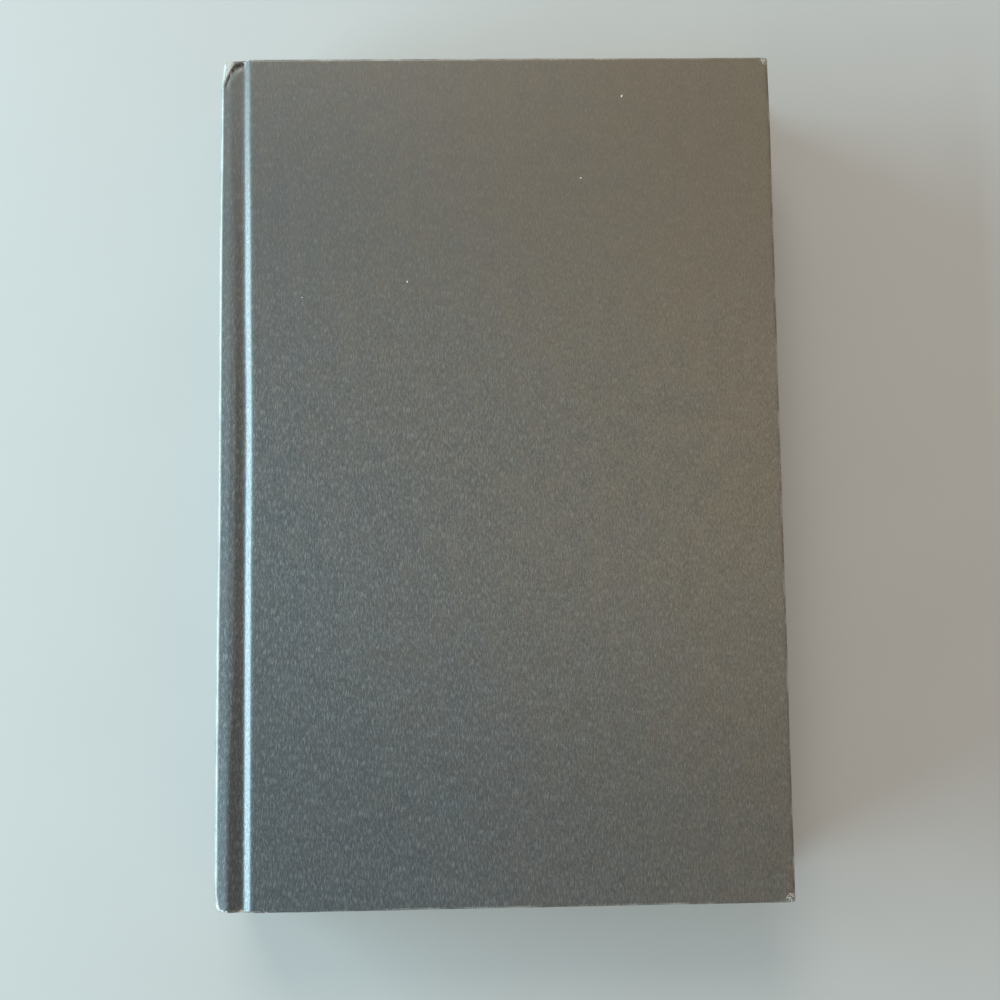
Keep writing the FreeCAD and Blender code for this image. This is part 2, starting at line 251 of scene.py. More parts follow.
@dataclass(frozen=True)
class CaseShape:
    """Outer shape of the case, with the dents and wear of use."""

    spine_x: float = -80.0
    fore_x: float = 80.0
    half: float = 120.5
    thickness: float = 28.9
    paper: float = 0.25
    turn_low: float = 25.9
    turn_step: Span = (-0.3, 0.6)
    board_wall: float = 2.45
    board_crest: float = -69.85
    joint_end: float = -72.8
    edge_round: float = 0.75
    fold_round: float = 0.25
    foot_round: float = 1.2
    crest_round: float = 1.2
    wall_round: float = 0.9
    seam_x: float = -77.0
    still_x: float = -75.0
    ridge_x: float = -76.3
    brink_x: float = -78.8
    head: KnockedCorner = KnockedCorner(0.3, 0.7, 1.4, 7.0)
    tail: KnockedCorner = KnockedCorner(0.3, 0.4, 2.1, 5.0)
    crease: Crease = Crease()
    grooves: tuple[GrooveSection, ...] = (
        GrooveSection(-120.5, -75.9, -72.9, 28.7, 27.45, 0.85, -72.15),
        GrooveSection(-100.0, -75.8, -72.9, 28.65, 27.45, 0.8, -72.15),
        GrooveSection(-40.0, -74.6, -72.9, 28.35, 27.5, 0.5, -72.1),
        GrooveSection(10.0, -74.4, -72.9, 28.2, 27.55, 0.45, -71.9),
        GrooveSection(60.0, -74.9, -72.9, 28.0, 27.6, 0.4, -72.35),
        GrooveSection(104.0, -76.2, -73.0, 27.95, 27.75, 0.45, -72.65),
        GrooveSection(120.5, -76.8, -73.1, 27.95, 27.8, 0.45, -72.7))
    plain_groove: GrooveSection = GrooveSection(0.0, -75.3, -72.9, 28.9, 27.4, 0.0,
                                                -72.4)
    ripple: float = 0.012
    ripple_size: Span = (14.0, 19.0)
    ripple_from: Span = (-71.0, -66.0)
    back_ripple_layer: float = 3.0
    bows: tuple[Bow, ...] = (Bow(0.25, -50.0, -5.0), Bow(0.3, 55.0, 115.0),
                             Bow(-0.25, -20.0, -110.0))
    low_force: float = 0.35
    force_from: Span = (8.0, 25.0)
    ends_from: Span = (112.0, 119.0)
    ends_waver: tuple[Waver, ...] = (Waver(0.1, 23.0, 30.0, 9.0),
                                     Waver(0.07, 2.7, 9.0, 4.0))
    fore_from: Span = (72.0, 79.0)
    fore_waver: Waver = Waver(0.12, 31.0, 30.0, 7.0)
    fore_lean: float = 0.25
    lean_from: Span = (95.0, 119.0)

    def groove(self, y: float, side: Side) -> GrooveSection:
        """Groove section at a place along the spine."""
        if side is Side.BACK:
            return self.plain_groove
        for low, high in zip(self.grooves, self.grooves[1:]):
            if y <= high.y:
                return low.between(high, y)
        return self.grooves[-1]

    def face(self, x: float, y: float, side: Side) -> float:
        """Height of the covering paper's outer face over the whole top.

        Args:
            x: distance across the book.
            y: distance along the book.
            side: cover that the face belongs to.

        Returns:
            Height above the table of the closed book's front cover; a back
            cover is this one's mirror image.
        """
        cut = self.groove(y, side)
        wall = rounded_ramp(x, cut.wall_start, cut.wall_end, self.wall_round,
                            self.foot_round)
        foot = rounded_ramp(x, cut.foot, cut.foot + self.board_wall, self.foot_round,
                            self.crest_round)
        shoulder = cut.shoulder - cut.droop * rounded_ramp(
            -x, -self.ridge_x, -self.brink_x, self.wall_round, 0.0)
        height = cut.floor + (shoulder - cut.floor) * (1.0 - wall) \
            + (self.thickness - cut.floor) * foot
        layer = self.back_ripple_layer
        if side is Side.FRONT:
            height -= self.crease.depth_at(*self.pushed(x, y))
            layer = 0.0
        wide, long = self.ripple_size
        ripple = noise.noise(Vector((x / wide, y / long, layer)))
        return height + self.ripple * ripple * eased(x, *self.ripple_from)

    def round_at(self, x: float) -> float:
        """Radius of the head and tail edges: a plain fold, or round the board."""
        return self.fold_round + (self.edge_round - self.fold_round) \
            * eased(x, self.joint_end, self.board_crest)

    def under(self, x: float, y: float, side: Side) -> float:
        """Height of the turned-in paper's free face under the case."""
        doubled = self.face(x, y, side) - 2.0 * self.paper
        before, after = self.turn_step
        return doubled + (self.turn_low - doubled) \
            * eased(x, self.joint_end + before, self.joint_end + after)

    def pushed(self, x: float, y: float, force: float = 1.0) -> tuple[float, float]:
        """Place in plan to which knocks have moved a point near the spine.

        Args:
            x: distance across the perfect case.
            y: distance along it.
            force: share of the knock that reaches the point.

        Returns:
            Its x and y now.
        """
        corner = self.head if y > 0.0 else self.tail
        tuck, fall = corner.shift(x - self.spine_x, self.half - abs(y))
        bow = sum(part.depth * eased(y, part.start, part.end) for part in self.bows)
        bow *= eased(x, self.still_x, self.spine_x)
        return x + force * (tuck + bow), y - math.copysign(force * fall, y)

    def settled(self, point: Point) -> Point:
        """Move a point of the perfect case to where use has pushed it."""
        x, y, z = point
        force = self.low_force + (1.0 - self.low_force) * eased(z, *self.force_from)
        x, y = self.pushed(x, y, force)
        end = eased(abs(y), *self.ends_from)
        if end > 0.0:
            out = sum(wave.depth * noise.noise(Vector((
                x / wave.along, math.copysign(wave.layer, y), z / wave.up)))
                for wave in self.ends_waver)
            y += math.copysign(end * out, y)
        fore = eased(x, *self.fore_from)
        if fore > 0.0:
            wave = self.fore_waver
            out = wave.depth * noise.noise(Vector((
                wave.layer, y / wave.along, z / wave.up)))
            x += fore * (out - self.fore_lean * eased(y, *self.lean_from))
        return x, y, z


class SheetMesh:
    """Points, faces and flat-sheet places of one piece while it is made."""

    def __init__(self) -> None:
        """Start empty."""
        self.points: list[Point] = []
        self.flat: list[tuple[float, float]] = []
        self.faces: list[tuple[int, ...]] = []

    def add(self, point: Point, flat: tuple[float, float]) -> int:
        """Add a point with its place on the flat sheet, and give its number."""
        self.points.append(point)
        self.flat.append(flat)
        return len(self.points) - 1

    def strip(self, first: Sequence[int], second: Sequence[int],
              turned: bool = False) -> None:
        """Join two rows of points with quads.

        Args:
            first: numbers of one row.
            second: numbers of the row beside it.
            turned: whether the faces look the other way.
        """
        for quad in zip(first, first[1:], second[1:], second):
            if len(set(quad)) > 2:
                self.faces.append(quad[::-1] if turned else quad)

    def skin(self, rows: Sequence[Sequence[int]], turned: bool = False) -> None:
        """Join each row of points with the next one."""
        for first, second in zip(rows, rows[1:]):
            self.strip(first, second, turned)

    def cap(self, ring: Sequence[int], turned: bool = False) -> None:
        """Close an end with one face; the ring's last number repeats its first."""
        self.faces.append(tuple(ring[:-1][::-1] if turned else ring[:-1]))

    def flipped(self, height: float) -> None:
        """Mirror the piece about the middle of the closed book."""
        self.points = [(x, y, height - z) for x, y, z in self.points]
        self.faces = [face[::-1] for face in self.faces]

    def piece(self, name: str, finish: bpy.types.Material,
              thickness: float = 0.0, crease: float = 40.0) -> bpy.types.Object:
        """Turn what was gathered into an object of the scene.

        Args:
            name: the piece's name.
            finish: its material.
            thickness: of the sheet, laid on the side away from its normals.
            crease: angle in degrees above which an edge looks sharp.

        Returns:
            The new object, with no modifier left on it.
        """
        mesh = bpy.data.meshes.new(name)
        mesh.from_pydata([tuple(c * MM for c in p) for p in self.points], [],
                         self.faces)
        layer = mesh.uv_layers.new(name=UV_NAME)
        for loop, place in zip(mesh.loops, layer.data):
            place.uv = tuple(c * MM for c in self.flat[loop.vertex_index])
        welded = bmesh.new()
        welded.from_mesh(mesh)
        bmesh.ops.remove_doubles(welded, verts=welded.verts, dist=MERGE)
        welded.to_mesh(mesh)
        welded.free()
        made = bpy.data.objects.new(name, mesh)
        bpy.context.scene.collection.objects.link(made)
        made.data.materials.append(finish)
        if thickness:
            shell = made.modifiers.new("thickness", "SOLIDIFY")
            shell.thickness, shell.offset = thickness * MM, -1.0
            shell.use_quality_normals = True
            graph = bpy.context.evaluated_depsgraph_get()
            whole = bpy.data.meshes.new_from_object(made.evaluated_get(graph))
            made.modifiers.clear()
            made.data = whole
        made.data.shade_smooth()
        made.data.set_sharp_from_angle(angle=math.radians(crease))
        return made


@dataclass(frozen=True)
class Grain:
    """Noise in a finish: its turn in degrees, its size in mm, its detail."""

    turn: float
    size: Point
    detail: float = 2.0
    rough: float = 0.5


class Recipe:
    """Node tree of one finish, with short calls for the nodes it needs."""

    def __init__(self, name: str) -> None:
        """Start a material with only its shader."""
        self.material = bpy.data.materials.new(name)
        self.material.use_nodes = True
        self.nodes = self.material.node_tree.nodes
        self.shader = self.nodes["Principled BSDF"]

    def node(self, kind: str, inputs: dict[str | int, object] | None = None,
             **settings: object) -> bpy.types.Node:
        """Add a node.

        Args:
            kind: its type, without the usual ShaderNode in front.
            inputs: values or sockets for its inputs.
            settings: its own properties.

        Returns:
            The node.
        """
        made = self.nodes.new("ShaderNode" + kind)
        for key, value in settings.items():
            setattr(made, key, value)
        for key, value in (inputs or {}).items():
            self.feed(made.inputs[key], value)
        return made

    def feed(self, socket: Socket, value: object) -> None:
        """Link a socket to an input, or set the input to a plain value."""
        if isinstance(value, bpy.types.NodeSocket):
            self.material.node_tree.links.new(value, socket)
        elif isinstance(value, tuple) and len(value) == 3 and len(
                socket.default_value) == 4:
            socket.default_value = (*value, 1.0)
        else:
            socket.default_value = value

    def sheet(self) -> Socket:
        """Place on the flat sheet, in metres."""
        return self.node("UVMap", uv_map=UV_NAME).outputs[0]

    def place(self) -> Socket:
        """Place in the part's own frame, in metres."""
        return self.node("TexCoord").outputs["Object"]

    def split(self, vector: Socket) -> tuple[Socket, Socket, Socket]:
        """The three parts of a vector."""
        parts = self.node("SeparateXYZ", {0: vector}).outputs
        return parts[0], parts[1], parts[2]

    def grain(self, place: Socket, grain: Grain) -> Socket:
        """Noise over a place, turned about Z and stretched to its size."""
        spun = self.node("Mapping", {"Vector": place, "Rotation": (
            0.0, 0.0, math.radians(grain.turn))}).outputs[0]
        sized = self.node("Mapping", {"Vector": spun, "Scale": tuple(
            1.0 / (s * MM) for s in grain.size)}).outputs[0]
        return self.node("TexNoise", {
            "Vector": sized, "Scale": 1.0, "Detail": grain.detail,
            "Roughness": grain.rough}).outputs[0]

    def grains(self, place: Socket, *grains: Grain) -> list[Socket]:
        """Several noises over the same place."""
        return [self.grain(place, grain) for grain in grains]

    def math(self, kind: str, a: object, b: object = 0.5,
             clamp: bool = False) -> Socket:
        """One arithmetic node."""
        return self.node("Math", {0: a, 1: b}, operation=kind,
                         use_clamp=clamp).outputs[0]

    def plus(self, a: object, b: object) -> Socket:
        """Sum of two values."""
        return self.math("ADD", a, b)

    def times(self, a: object, b: object) -> Socket:
        """Product of two values."""
        return self.math("MULTIPLY", a, b)

    def most(self, a: object, b: object) -> Socket:
        """Larger of two values."""
        return self.math("MAXIMUM", a, b)

    def centred(self, value: Socket) -> Socket:
        """Noise less its middle, so that it swings both ways."""
        return self.math("SUBTRACT", value, 0.5)

    def weighed(self, *parts: tuple[Socket, float]) -> Socket:
        """Sum of values, each with its weight."""
        total = self.times(*parts[0])
        for part in parts[1:]:
            total = self.plus(total, self.times(*part))
        return total

    def wave(self, value: Socket, pitch: float) -> Socket:
        """Sine of a place in metres, over a pitch in millimetres."""
        return self.math("SINE", self.times(value, 2 * math.pi / (pitch * MM)))

    def band(self, value: Socket, low: float, high: float, floor: float = 0.0,
             top: float = 1.0) -> Socket:
        """Smooth step of a value from floor at low to top at high."""
        return self.node("MapRange", {0: value, 1: low, 2: high, 3: floor, 4: top},
                         interpolation_type="SMOOTHSTEP").outputs[0]

    def edge(self, value: Socket, start: float, end: float) -> Socket:
        """Smooth step of a place in metres, from 0 to 1 between two in mm."""
        return self.band(value, start * MM, end * MM)

    def stripe(self, value: Socket, rise: Span, fall: Span) -> Socket:
        """Stripe with soft sides, which rises and falls over two spans in mm."""
        return self.times(self.edge(value, *rise), self.edge(value, *fall[::-1]))

    def mix(self, share: object, a: object, b: object) -> Socket:
        """Blend of two colours."""
        return self.node("Mix", {0: share, 6: a, 7: b},
                         data_type="RGBA").outputs[2]

    def rough(self, value: Socket, low: float, high: float,
              span: Span = NOISE_SPAN) -> None:
        """Let the shader's roughness follow a value, from low to high."""
        self.feed(self.shader.inputs["Roughness"], self.band(value, *span, low, high))

    def relief(self, height: Socket, depth: float, strength: float = 1.0) -> None:
        """Raise the surface by a height map of a depth in millimetres."""
        bump = self.node("Bump", {"Strength": strength, "Distance": depth * MM,
                                  "Height": height})
        self.feed(self.shader.inputs["Normal"], bump.outputs[0])

    def done(self, colour: Socket) -> bpy.types.Material:
        """Give the shader its colour and finish the material."""
        self.feed(self.shader.inputs["Base Color"], colour)
        return self.material


@dataclass(frozen=True)
class WornSpot:
    """Rubbed place on the covering paper, in mm on the flat sheet."""

    u: float
    v: float
    wide: float
    tall: float
    share: float


@dataclass(frozen=True)
class WornAndHighlightLine:
    """Pale line along the spine's front rim, partly rubbed paper and partly a painted
    highlight: where it rises and falls on the sheet.
    """

    rise: Span
    fall: Span
    share: float


@dataclass(frozen=True)
class CasePaper:
    """Dark grey covering paper, with fibres in it and rubbed edges."""

    # Cool and warm copies of one grey paper, blended by place on the sheet: painted light,
    # cool from the window on the spine side, warm from the lamp towards the fore edge and
    # the head.
    cool_dark: Colour = (0.066, 0.087, 0.101)
    cool_mid: Colour = (0.124, 0.150, 0.168)
    cool_fleck: Colour = (0.27, 0.305, 0.32)
    warm_dark: Colour = (0.162, 0.120, 0.078)
    warm_mid: Colour = (0.245, 0.184, 0.124)
    warm_fleck: Colour = (0.33, 0.27, 0.20)
    # Pale core of rubbed paper; it also paints the highlight along the spine's rim.
    core: Colour = (0.60, 0.58, 0.52)
    mottle: Grain = Grain(2.0, (0.42, 1.25, 1.0), 2.0, 0.7)
    fine: Grain = Grain(5.0, (0.34, 0.5, 1.0), 1.0, 0.6)
    patches: Grain = Grain(0.0, (5.0, 7.0, 1.0), 3.0, 0.6)
    upright: Grain = Grain(6.0, (0.32, 2.3, 1.0), 1.0)
    leaning: Grain = Grain(-18.0, (0.32, 2.0, 1.0), 1.0)
    upright_span: Span = (0.52, 0.72)
    leaning_span: Span = (0.54, 0.74)
    leaning_share: float = 0.8
    tone_span: Span = (0.39, 0.61)
    # Fleck share on the cool and the warm side: more on the cool side paints the raking
    # window light that brings the fibres out.
    cool_lively: float = 0.8
    warm_lively: float = 0.45
    cloud: Grain = Grain(0.0, (45.0, 60.0, 1.0), 3.0)
    small_cloud: Grain = Grain(0.0, (5.0, 8.0, 1.0))
    small_share: float = 1.2
    # Weights of u, v and the cloud drift in the painted warm and cool light.
    warm_way: Point = (0.85, 0.36, 0.05)
    warm_span: Span = (-0.13, 0.12)
    # Painted shade: the paper is darkened towards the tail and, less, towards the head,
    # where less light falls on it.
    painted_tail_shade: float = 0.76
    tail_span: Span = (-0.115, -0.02)
    painted_head_shade: float = 0.92
    head_span: Span = (0.03, 0.1)
    # Grain contrast fades towards the head: painted raking light, which shows the grain
    # more at the tail.
    calm_span: Span = (0.0, 0.085)
    calmest: float = 0.55
    gloss: float = 0.9
    relief: float = 0.035
    long_run: Grain = Grain(0.0, (9.0, 9.0, 1.0))
    rim_wear: float = 0.35
    rim_fore: float = 79.1
    rim_ends: float = 119.6
    rim_wide: float = 1.8
    rim_soft: float = 0.5
    broken_span: Span = (0.5, 0.68)
    speck_span: Span = (0.4, 0.6)
    chip_span: Span = (0.75, 1.0)
    spots: tuple[WornSpot, ...] = ()
    line: WornAndHighlightLine | None = None
    fold: Crease | None = None

    def material(self, name: str) -> bpy.types.Material:
        """Build the finish under a name."""
        recipe = Recipe(name)
        sheet = recipe.sheet()
        v = recipe.split(sheet)[1]
        mottle, fine, patches, upright, leaning = recipe.grains(
            sheet, self.mottle, self.fine, self.patches, self.upright, self.leaning)
        # Painted raking light: grain and fibres show less towards the head and on the warm
        # side.
        calm = recipe.band(v, *self.calm_span, 1.0, self.calmest)
        strands = recipe.times(calm, recipe.most(
            recipe.band(upright, *self.upright_span),
            recipe.band(leaning, *self.leaning_span, 0.0, self.leaning_share)))
        # Painted light: the cool and warm copies blended by place.
        painted_light_and_drift = self.painted_light_and_drift(recipe, sheet)
        dark = recipe.mix(painted_light_and_drift, self.cool_dark, self.warm_dark)
        mid = recipe.mix(painted_light_and_drift, self.cool_mid, self.warm_mid)
        fleck = recipe.mix(painted_light_and_drift, self.cool_fleck, self.warm_fleck)
        tone = recipe.weighed((mottle, 0.55), (fine, 0.3), (patches, 0.15))
        swing = recipe.times(calm, recipe.centred(recipe.band(tone, *self.tone_span)))
        ground = recipe.mix(recipe.plus(0.5, swing), dark, mid)
        lively = recipe.band(painted_light_and_drift, 0.0, 1.0, self.cool_lively, self.warm_lively)
        colour = recipe.mix(recipe.times(strands, lively), ground, fleck)
        # Painted shade: the colour goes darker towards the tail and the head.
        shade = recipe.times(recipe.band(v, *self.tail_span, self.painted_tail_shade, 1.0),
                             recipe.band(v, *self.head_span, 1.0, self.painted_head_shade))
        colour = recipe.mix(shade, BLACK, colour)
        colour = recipe.mix(self.wear(recipe, sheet, fine), colour, self.core)
        recipe.rough(mottle, 0.4, 0.3)
        recipe.shader.inputs["Specular IOR Level"].default_value = self.gloss
        height = recipe.weighed((fine, 0.5), (strands, 0.35), (mottle, 1.0))
        recipe.relief(height, self.relief, 0.6)
        return recipe.done(colour)

    def painted_light_and_drift(self, recipe: Recipe, sheet: Socket) -> Socket:
        """Share of the warmer copy: painted light, warm towards the fore edge and the head
        and cool towards the spine and the tail, with a little cloudy drift of tone.
        """
        u, v, _ = recipe.split(sheet)
        cloud, small = recipe.grains(sheet, self.cloud, self.small_cloud)
        drift = recipe.plus(recipe.centred(cloud),
                            recipe.times(recipe.centred(small), self.small_share))
        return recipe.band(recipe.weighed(*zip((u, v, drift), self.warm_way)),
                           *self.warm_span)

    def wear(self, recipe: Recipe, sheet: Socket, fine: Socket) -> Socket:
        """Mask of the rubbed edges and spots, and of the pale line along the spine's rim,
        which is partly a painted highlight.

        Args:
            recipe: node tree that the mask is added to.
            sheet: place on the flat sheet.
            fine: fine grain, which breaks the mask up.

        Returns:
            Share of bare paper core, or of painted highlight on the spine's rim, 0 to 1.
        """
        u, v, _ = recipe.split(sheet)
        last = self.rim_wide - self.rim_soft
        rims = [recipe.stripe(at, (low, low + self.rim_soft),
                              (low + last, low + self.rim_wide))
                for at, low in ((recipe.math("ABSOLUTE", v), self.rim_ends),
                                (u, self.rim_fore))]
        long_run = recipe.grain(sheet, self.long_run)
        broken = recipe.band(recipe.weighed((fine, 0.5), (long_run, 0.6)),
                             *self.broken_span)
        mask = recipe.times(recipe.most(*rims), recipe.times(broken, self.rim_wear))
        # Pale line along the spine's front rim: rubbed paper and a painted highlight of
        # its rounded edge.
        if self.line:
            rubbed = recipe.stripe(u, self.line.rise, self.line.fall)
            patchy = recipe.band(long_run, *NOISE_SPAN, 0.55, 1.0)
            mask = recipe.most(mask, recipe.times(
                rubbed, recipe.times(patchy, self.line.share)))
        speck = recipe.band(fine, *self.speck_span)
        for spot in self.spots:
            reach = self.away(recipe, (u, v), (spot.u, spot.v), (spot.wide, spot.tall))
            near = recipe.band(reach, 0.3, 1.0, spot.share, 0.0)
            mask = recipe.most(mask, recipe.band(
                recipe.plus(recipe.times(speck, 0.5), near), *self.chip_span))
        if self.fold:
            mask = recipe.most(mask, self.bare(recipe, (u, v), self.fold, speck))
        return recipe.math("MINIMUM", mask, 1.0, clamp=True)

    def bare(self, recipe: Recipe, place: tuple[Socket, Socket], fold: Crease,
             speck: Socket) -> Socket:
        """Mask of the bare paper outside the fold of the knocked corner.

        Args:
            recipe: node tree that the mask is added to.
            place: both parts of the place on the flat sheet.
            fold: the crease that bounds the bare paper.
            speck: fine specks of the cover's colour that are left on it.

        Returns:
            Share of bare paper core, 0 to 1.
        """
        reach = self.away(recipe, place, (fold.x, fold.y), (fold.reach_x, fold.reach_y))
        across = recipe.stripe(place[0], fold.bare_rise, fold.bare_fall)
        corner = recipe.times(across, recipe.edge(place[1], *fold.bare_from))
        outside = recipe.times(corner, recipe.band(reach, 1.0, 1.05))
        return recipe.times(outside, recipe.band(speck, 0.45, 1.0, 1.0, 0.35))

    def away(self, recipe: Recipe, place: tuple[Socket, Socket],
             centre: tuple[float, float], size: tuple[float, float]) -> Socket:
        """Distance on the flat sheet from a centre, in shares of a size in mm."""
        squares = []
        for at, middle, span in zip(place, centre, size):
            share = recipe.math("DIVIDE", recipe.math("SUBTRACT", at, middle * MM),
                                span * MM)
            squares.append(recipe.times(share, share))
        return recipe.math("SQRT", recipe.plus(*squares))


@dataclass(frozen=True)
class PlainPaper:
    """Uncoated paper: a faint cloud and short fibres."""

    pale: Colour
    deep: Colour
    fibre: float = 0.25
    roughness: float = 0.8
    cloud: Grain = Grain(0.0, (6.0, 7.0, 5.0), 4.0, 0.6)
    fibres: Grain = Grain(31.0, (0.3, 1.6, 1.0))

    def material(self, name: str, on_sheet: bool = False) -> bpy.types.Material:
        """Build the finish, on the flat sheet or in the part's frame."""
        recipe = Recipe(name)
        place = recipe.sheet() if on_sheet else recipe.place()
        cloud, fibres = recipe.grains(place, self.cloud, self.fibres)
        tone = recipe.weighed((cloud, 1.0 - self.fibre), (fibres, self.fibre))
        recipe.rough(fibres, self.roughness, self.roughness + 0.1)
        recipe.relief(recipe.plus(fibres, cloud), 0.02, 0.5)
        return recipe.done(recipe.mix(recipe.band(tone, 0.35, 0.65), self.deep, self.pale))


@dataclass(frozen=True)
class Pastedown:
    """Endpaper glued down, with the turn-ins and the mull showing under it."""

    turn_x: float = 65.0
    turn_y: float = 105.5
    mull_x: float = -44.8
    mull_end: Span = (104.8, 104.0)
    soft: float = 0.9
    ragged: float = 0.8
    weave: float = 1.1
    rag: Grain = Grain(0.0, (3.0, 3.0, 3.0), 3.0)
    cloud: Grain = Grain(0.0, (14.0, 11.0, 5.0), 5.0, 0.6)
    fibres: Grain = Grain(20.0, (0.3, 1.8, 1.0))

    def material(self, name: str) -> bpy.types.Material:
        """Build the finish under a name."""
        recipe = Recipe(name)
        place = recipe.place()
        x, y, _ = recipe.split(place)
        ends = recipe.math("ABSOLUTE", y)
        rag, cloud, fibres = recipe.grains(place, self.rag, self.cloud, self.fibres)
        ragged = recipe.times(recipe.centred(rag), self.ragged * MM)
        turned = recipe.most(*(
            recipe.edge(recipe.plus(at, ragged), edge - self.soft, edge + self.soft)
            for at, edge in ((ends, self.turn_y), (x, self.turn_x))))
        cloth = recipe.times(
            recipe.edge(x, self.mull_x + self.soft, self.mull_x - self.soft),
            recipe.edge(ends, *self.mull_end))
        weave = recipe.times(cloth, recipe.most(*(
            recipe.wave(at, self.weave) for at in (x, y))))
        tone = recipe.weighed((cloud, 0.8), (fibres, 0.2))
        recipe.rough(fibres, 0.78, 0.9)
        recipe.relief(recipe.plus(recipe.most(turned, cloth), recipe.weighed(
            (weave, 0.12), (fibres, 0.1))), 0.16, 0.6)
        return recipe.done(recipe.mix(recipe.band(tone, 0.36, 0.64), ENDPAPER_DEEP,
                                      ENDPAPER_PALE))


@dataclass(frozen=True)
class PageEdges:
    """Trimmed leaf edges: fine lines, paler and darker from leaf to leaf."""

    pale: Colour = (0.74, 0.69, 0.575)
    deep: Colour = (0.50, 0.44, 0.335)
    lines: Grain = Grain(0.0, (60.0, 60.0, 0.16), 3.0, 0.7)
    thick: Grain = Grain(0.0, (90.0, 90.0, 1.6))
    dust: Grain = Grain(0.0, (5.0, 5.0, 2.0), 4.0, 0.6)

    def material(self, name: str) -> bpy.types.Material:
        """Build the finish under a name."""
        recipe = Recipe(name)
        lines, thick, dust = recipe.grains(recipe.place(), self.lines, self.thick,
                                           self.dust)
        tone = recipe.weighed((lines, 0.55), (thick, 0.25), (dust, 0.2))
        recipe.rough(dust, 0.8, 0.92)
        recipe.relief(lines, 0.04, 0.6)
        return recipe.done(recipe.mix(recipe.band(tone, 0.38, 0.58), self.deep, self.pale))


@dataclass(frozen=True)
class BindersBoard:
    """Grey-brown board of pressed waste paper."""

    pale: Colour = (0.36, 0.33, 0.28)
    deep: Colour = (0.23, 0.21, 0.18)
    flake: Colour = (0.50, 0.47, 0.41)
    layers: Grain = Grain(0.0, (7.0, 9.0, 0.3), 4.0, 0.6)
    flakes: Grain = Grain(40.0, (0.5, 1.2, 0.6))

    def material(self, name: str) -> bpy.types.Material:
        """Build the finish under a name."""
        recipe = Recipe(name)
        layers, flakes = recipe.grains(recipe.place(), self.layers, self.flakes)
        ground = recipe.mix(recipe.band(layers, 0.35, 0.65), self.deep, self.pale)
        recipe.rough(layers, 0.82, 0.92)
        recipe.relief(layers, 0.08, 0.6)
        return recipe.done(recipe.mix(recipe.band(flakes, 0.62, 0.75, 0.0, 0.7),
                                      ground, self.flake))


@dataclass(frozen=True)
class OpenCloth:
    """Starched open-weave cloth, glue showing between its threads."""

    thread: Colour = (0.74, 0.70, 0.60)
    glue: Colour = (0.42, 0.37, 0.28)
    pitch: float = 1.1
    wander: float = 0.9
    waver: Grain = Grain(0.0, (5.0, 5.0, 5.0))

    def material(self, name: str, on_sheet: bool = False) -> bpy.types.Material:
        """Build the finish, on the flat sheet or in the part's frame."""
        recipe = Recipe(name)
        place = recipe.sheet() if on_sheet else recipe.place()
        waver = recipe.times(recipe.grain(place, self.waver), self.wander * MM)
        net = recipe.most(*(
            recipe.band(recipe.wave(recipe.plus(at, waver), self.pitch), -0.1, 0.7)
            for at in recipe.split(place)[:2]))
        recipe.rough(net, 0.6, 0.9, (0.0, 1.0))
        recipe.relief(net, 0.12, 0.8)
        return recipe.done(recipe.mix(net, self.glue, self.thread))


@dataclass(frozen=True)
class BandCloth:
    """Striped cotton of the head and tail bands."""

    pale: Colour = (0.70, 0.69, 0.65)
    dark: Colour = (0.16, 0.19, 0.20)
    stripe: float = 2.2
    slant: float = 0.25
    frayed: float = 0.8
    yarn: Grain = Grain(12.0, (0.5, 0.12, 1.0))

    def material(self, name: str) -> bpy.types.Material:
        """Build the finish; v on its flat sheet runs along the band."""
        recipe = Recipe(name)
        sheet = recipe.sheet()
        u, v, _ = recipe.split(sheet)
        turns = recipe.wave(recipe.plus(v, recipe.times(u, self.slant)), self.stripe)
        yarn = recipe.grain(sheet, self.yarn)
        frayed = recipe.plus(turns, recipe.times(recipe.centred(yarn), self.frayed))
        recipe.rough(yarn, 0.7, 0.9)
        recipe.relief(yarn, 0.05, 0.7)
        shaded = recipe.mix(recipe.band(yarn, 0.35, 0.65, 0.0, 0.25), self.pale, self.dark)
        return recipe.done(recipe.mix(recipe.band(frayed, -0.15, 0.15), self.dark, shaded))


def edge_levels(round_steps: int = 4) -> list[tuple[float, float, float]]:
    """Stages of paper folded round an edge, from the face to the free side.

    Args:
        round_steps: steps in each quarter turn.

    Returns:
        For each stage, how far it stands out in edge radii, how far it has
        gone down from the face in radii, and how far up from the free side.
        One of the last two is used: the other is NaN.
    """
    quarter = quarter_turn(round_steps)
    down = [(math.sin(a), 1.0 - math.cos(a), math.nan) for a in quarter[1:]]
    up = [(math.cos(a), math.nan, 1.0 - math.sin(a)) for a in quarter]
    return down + up


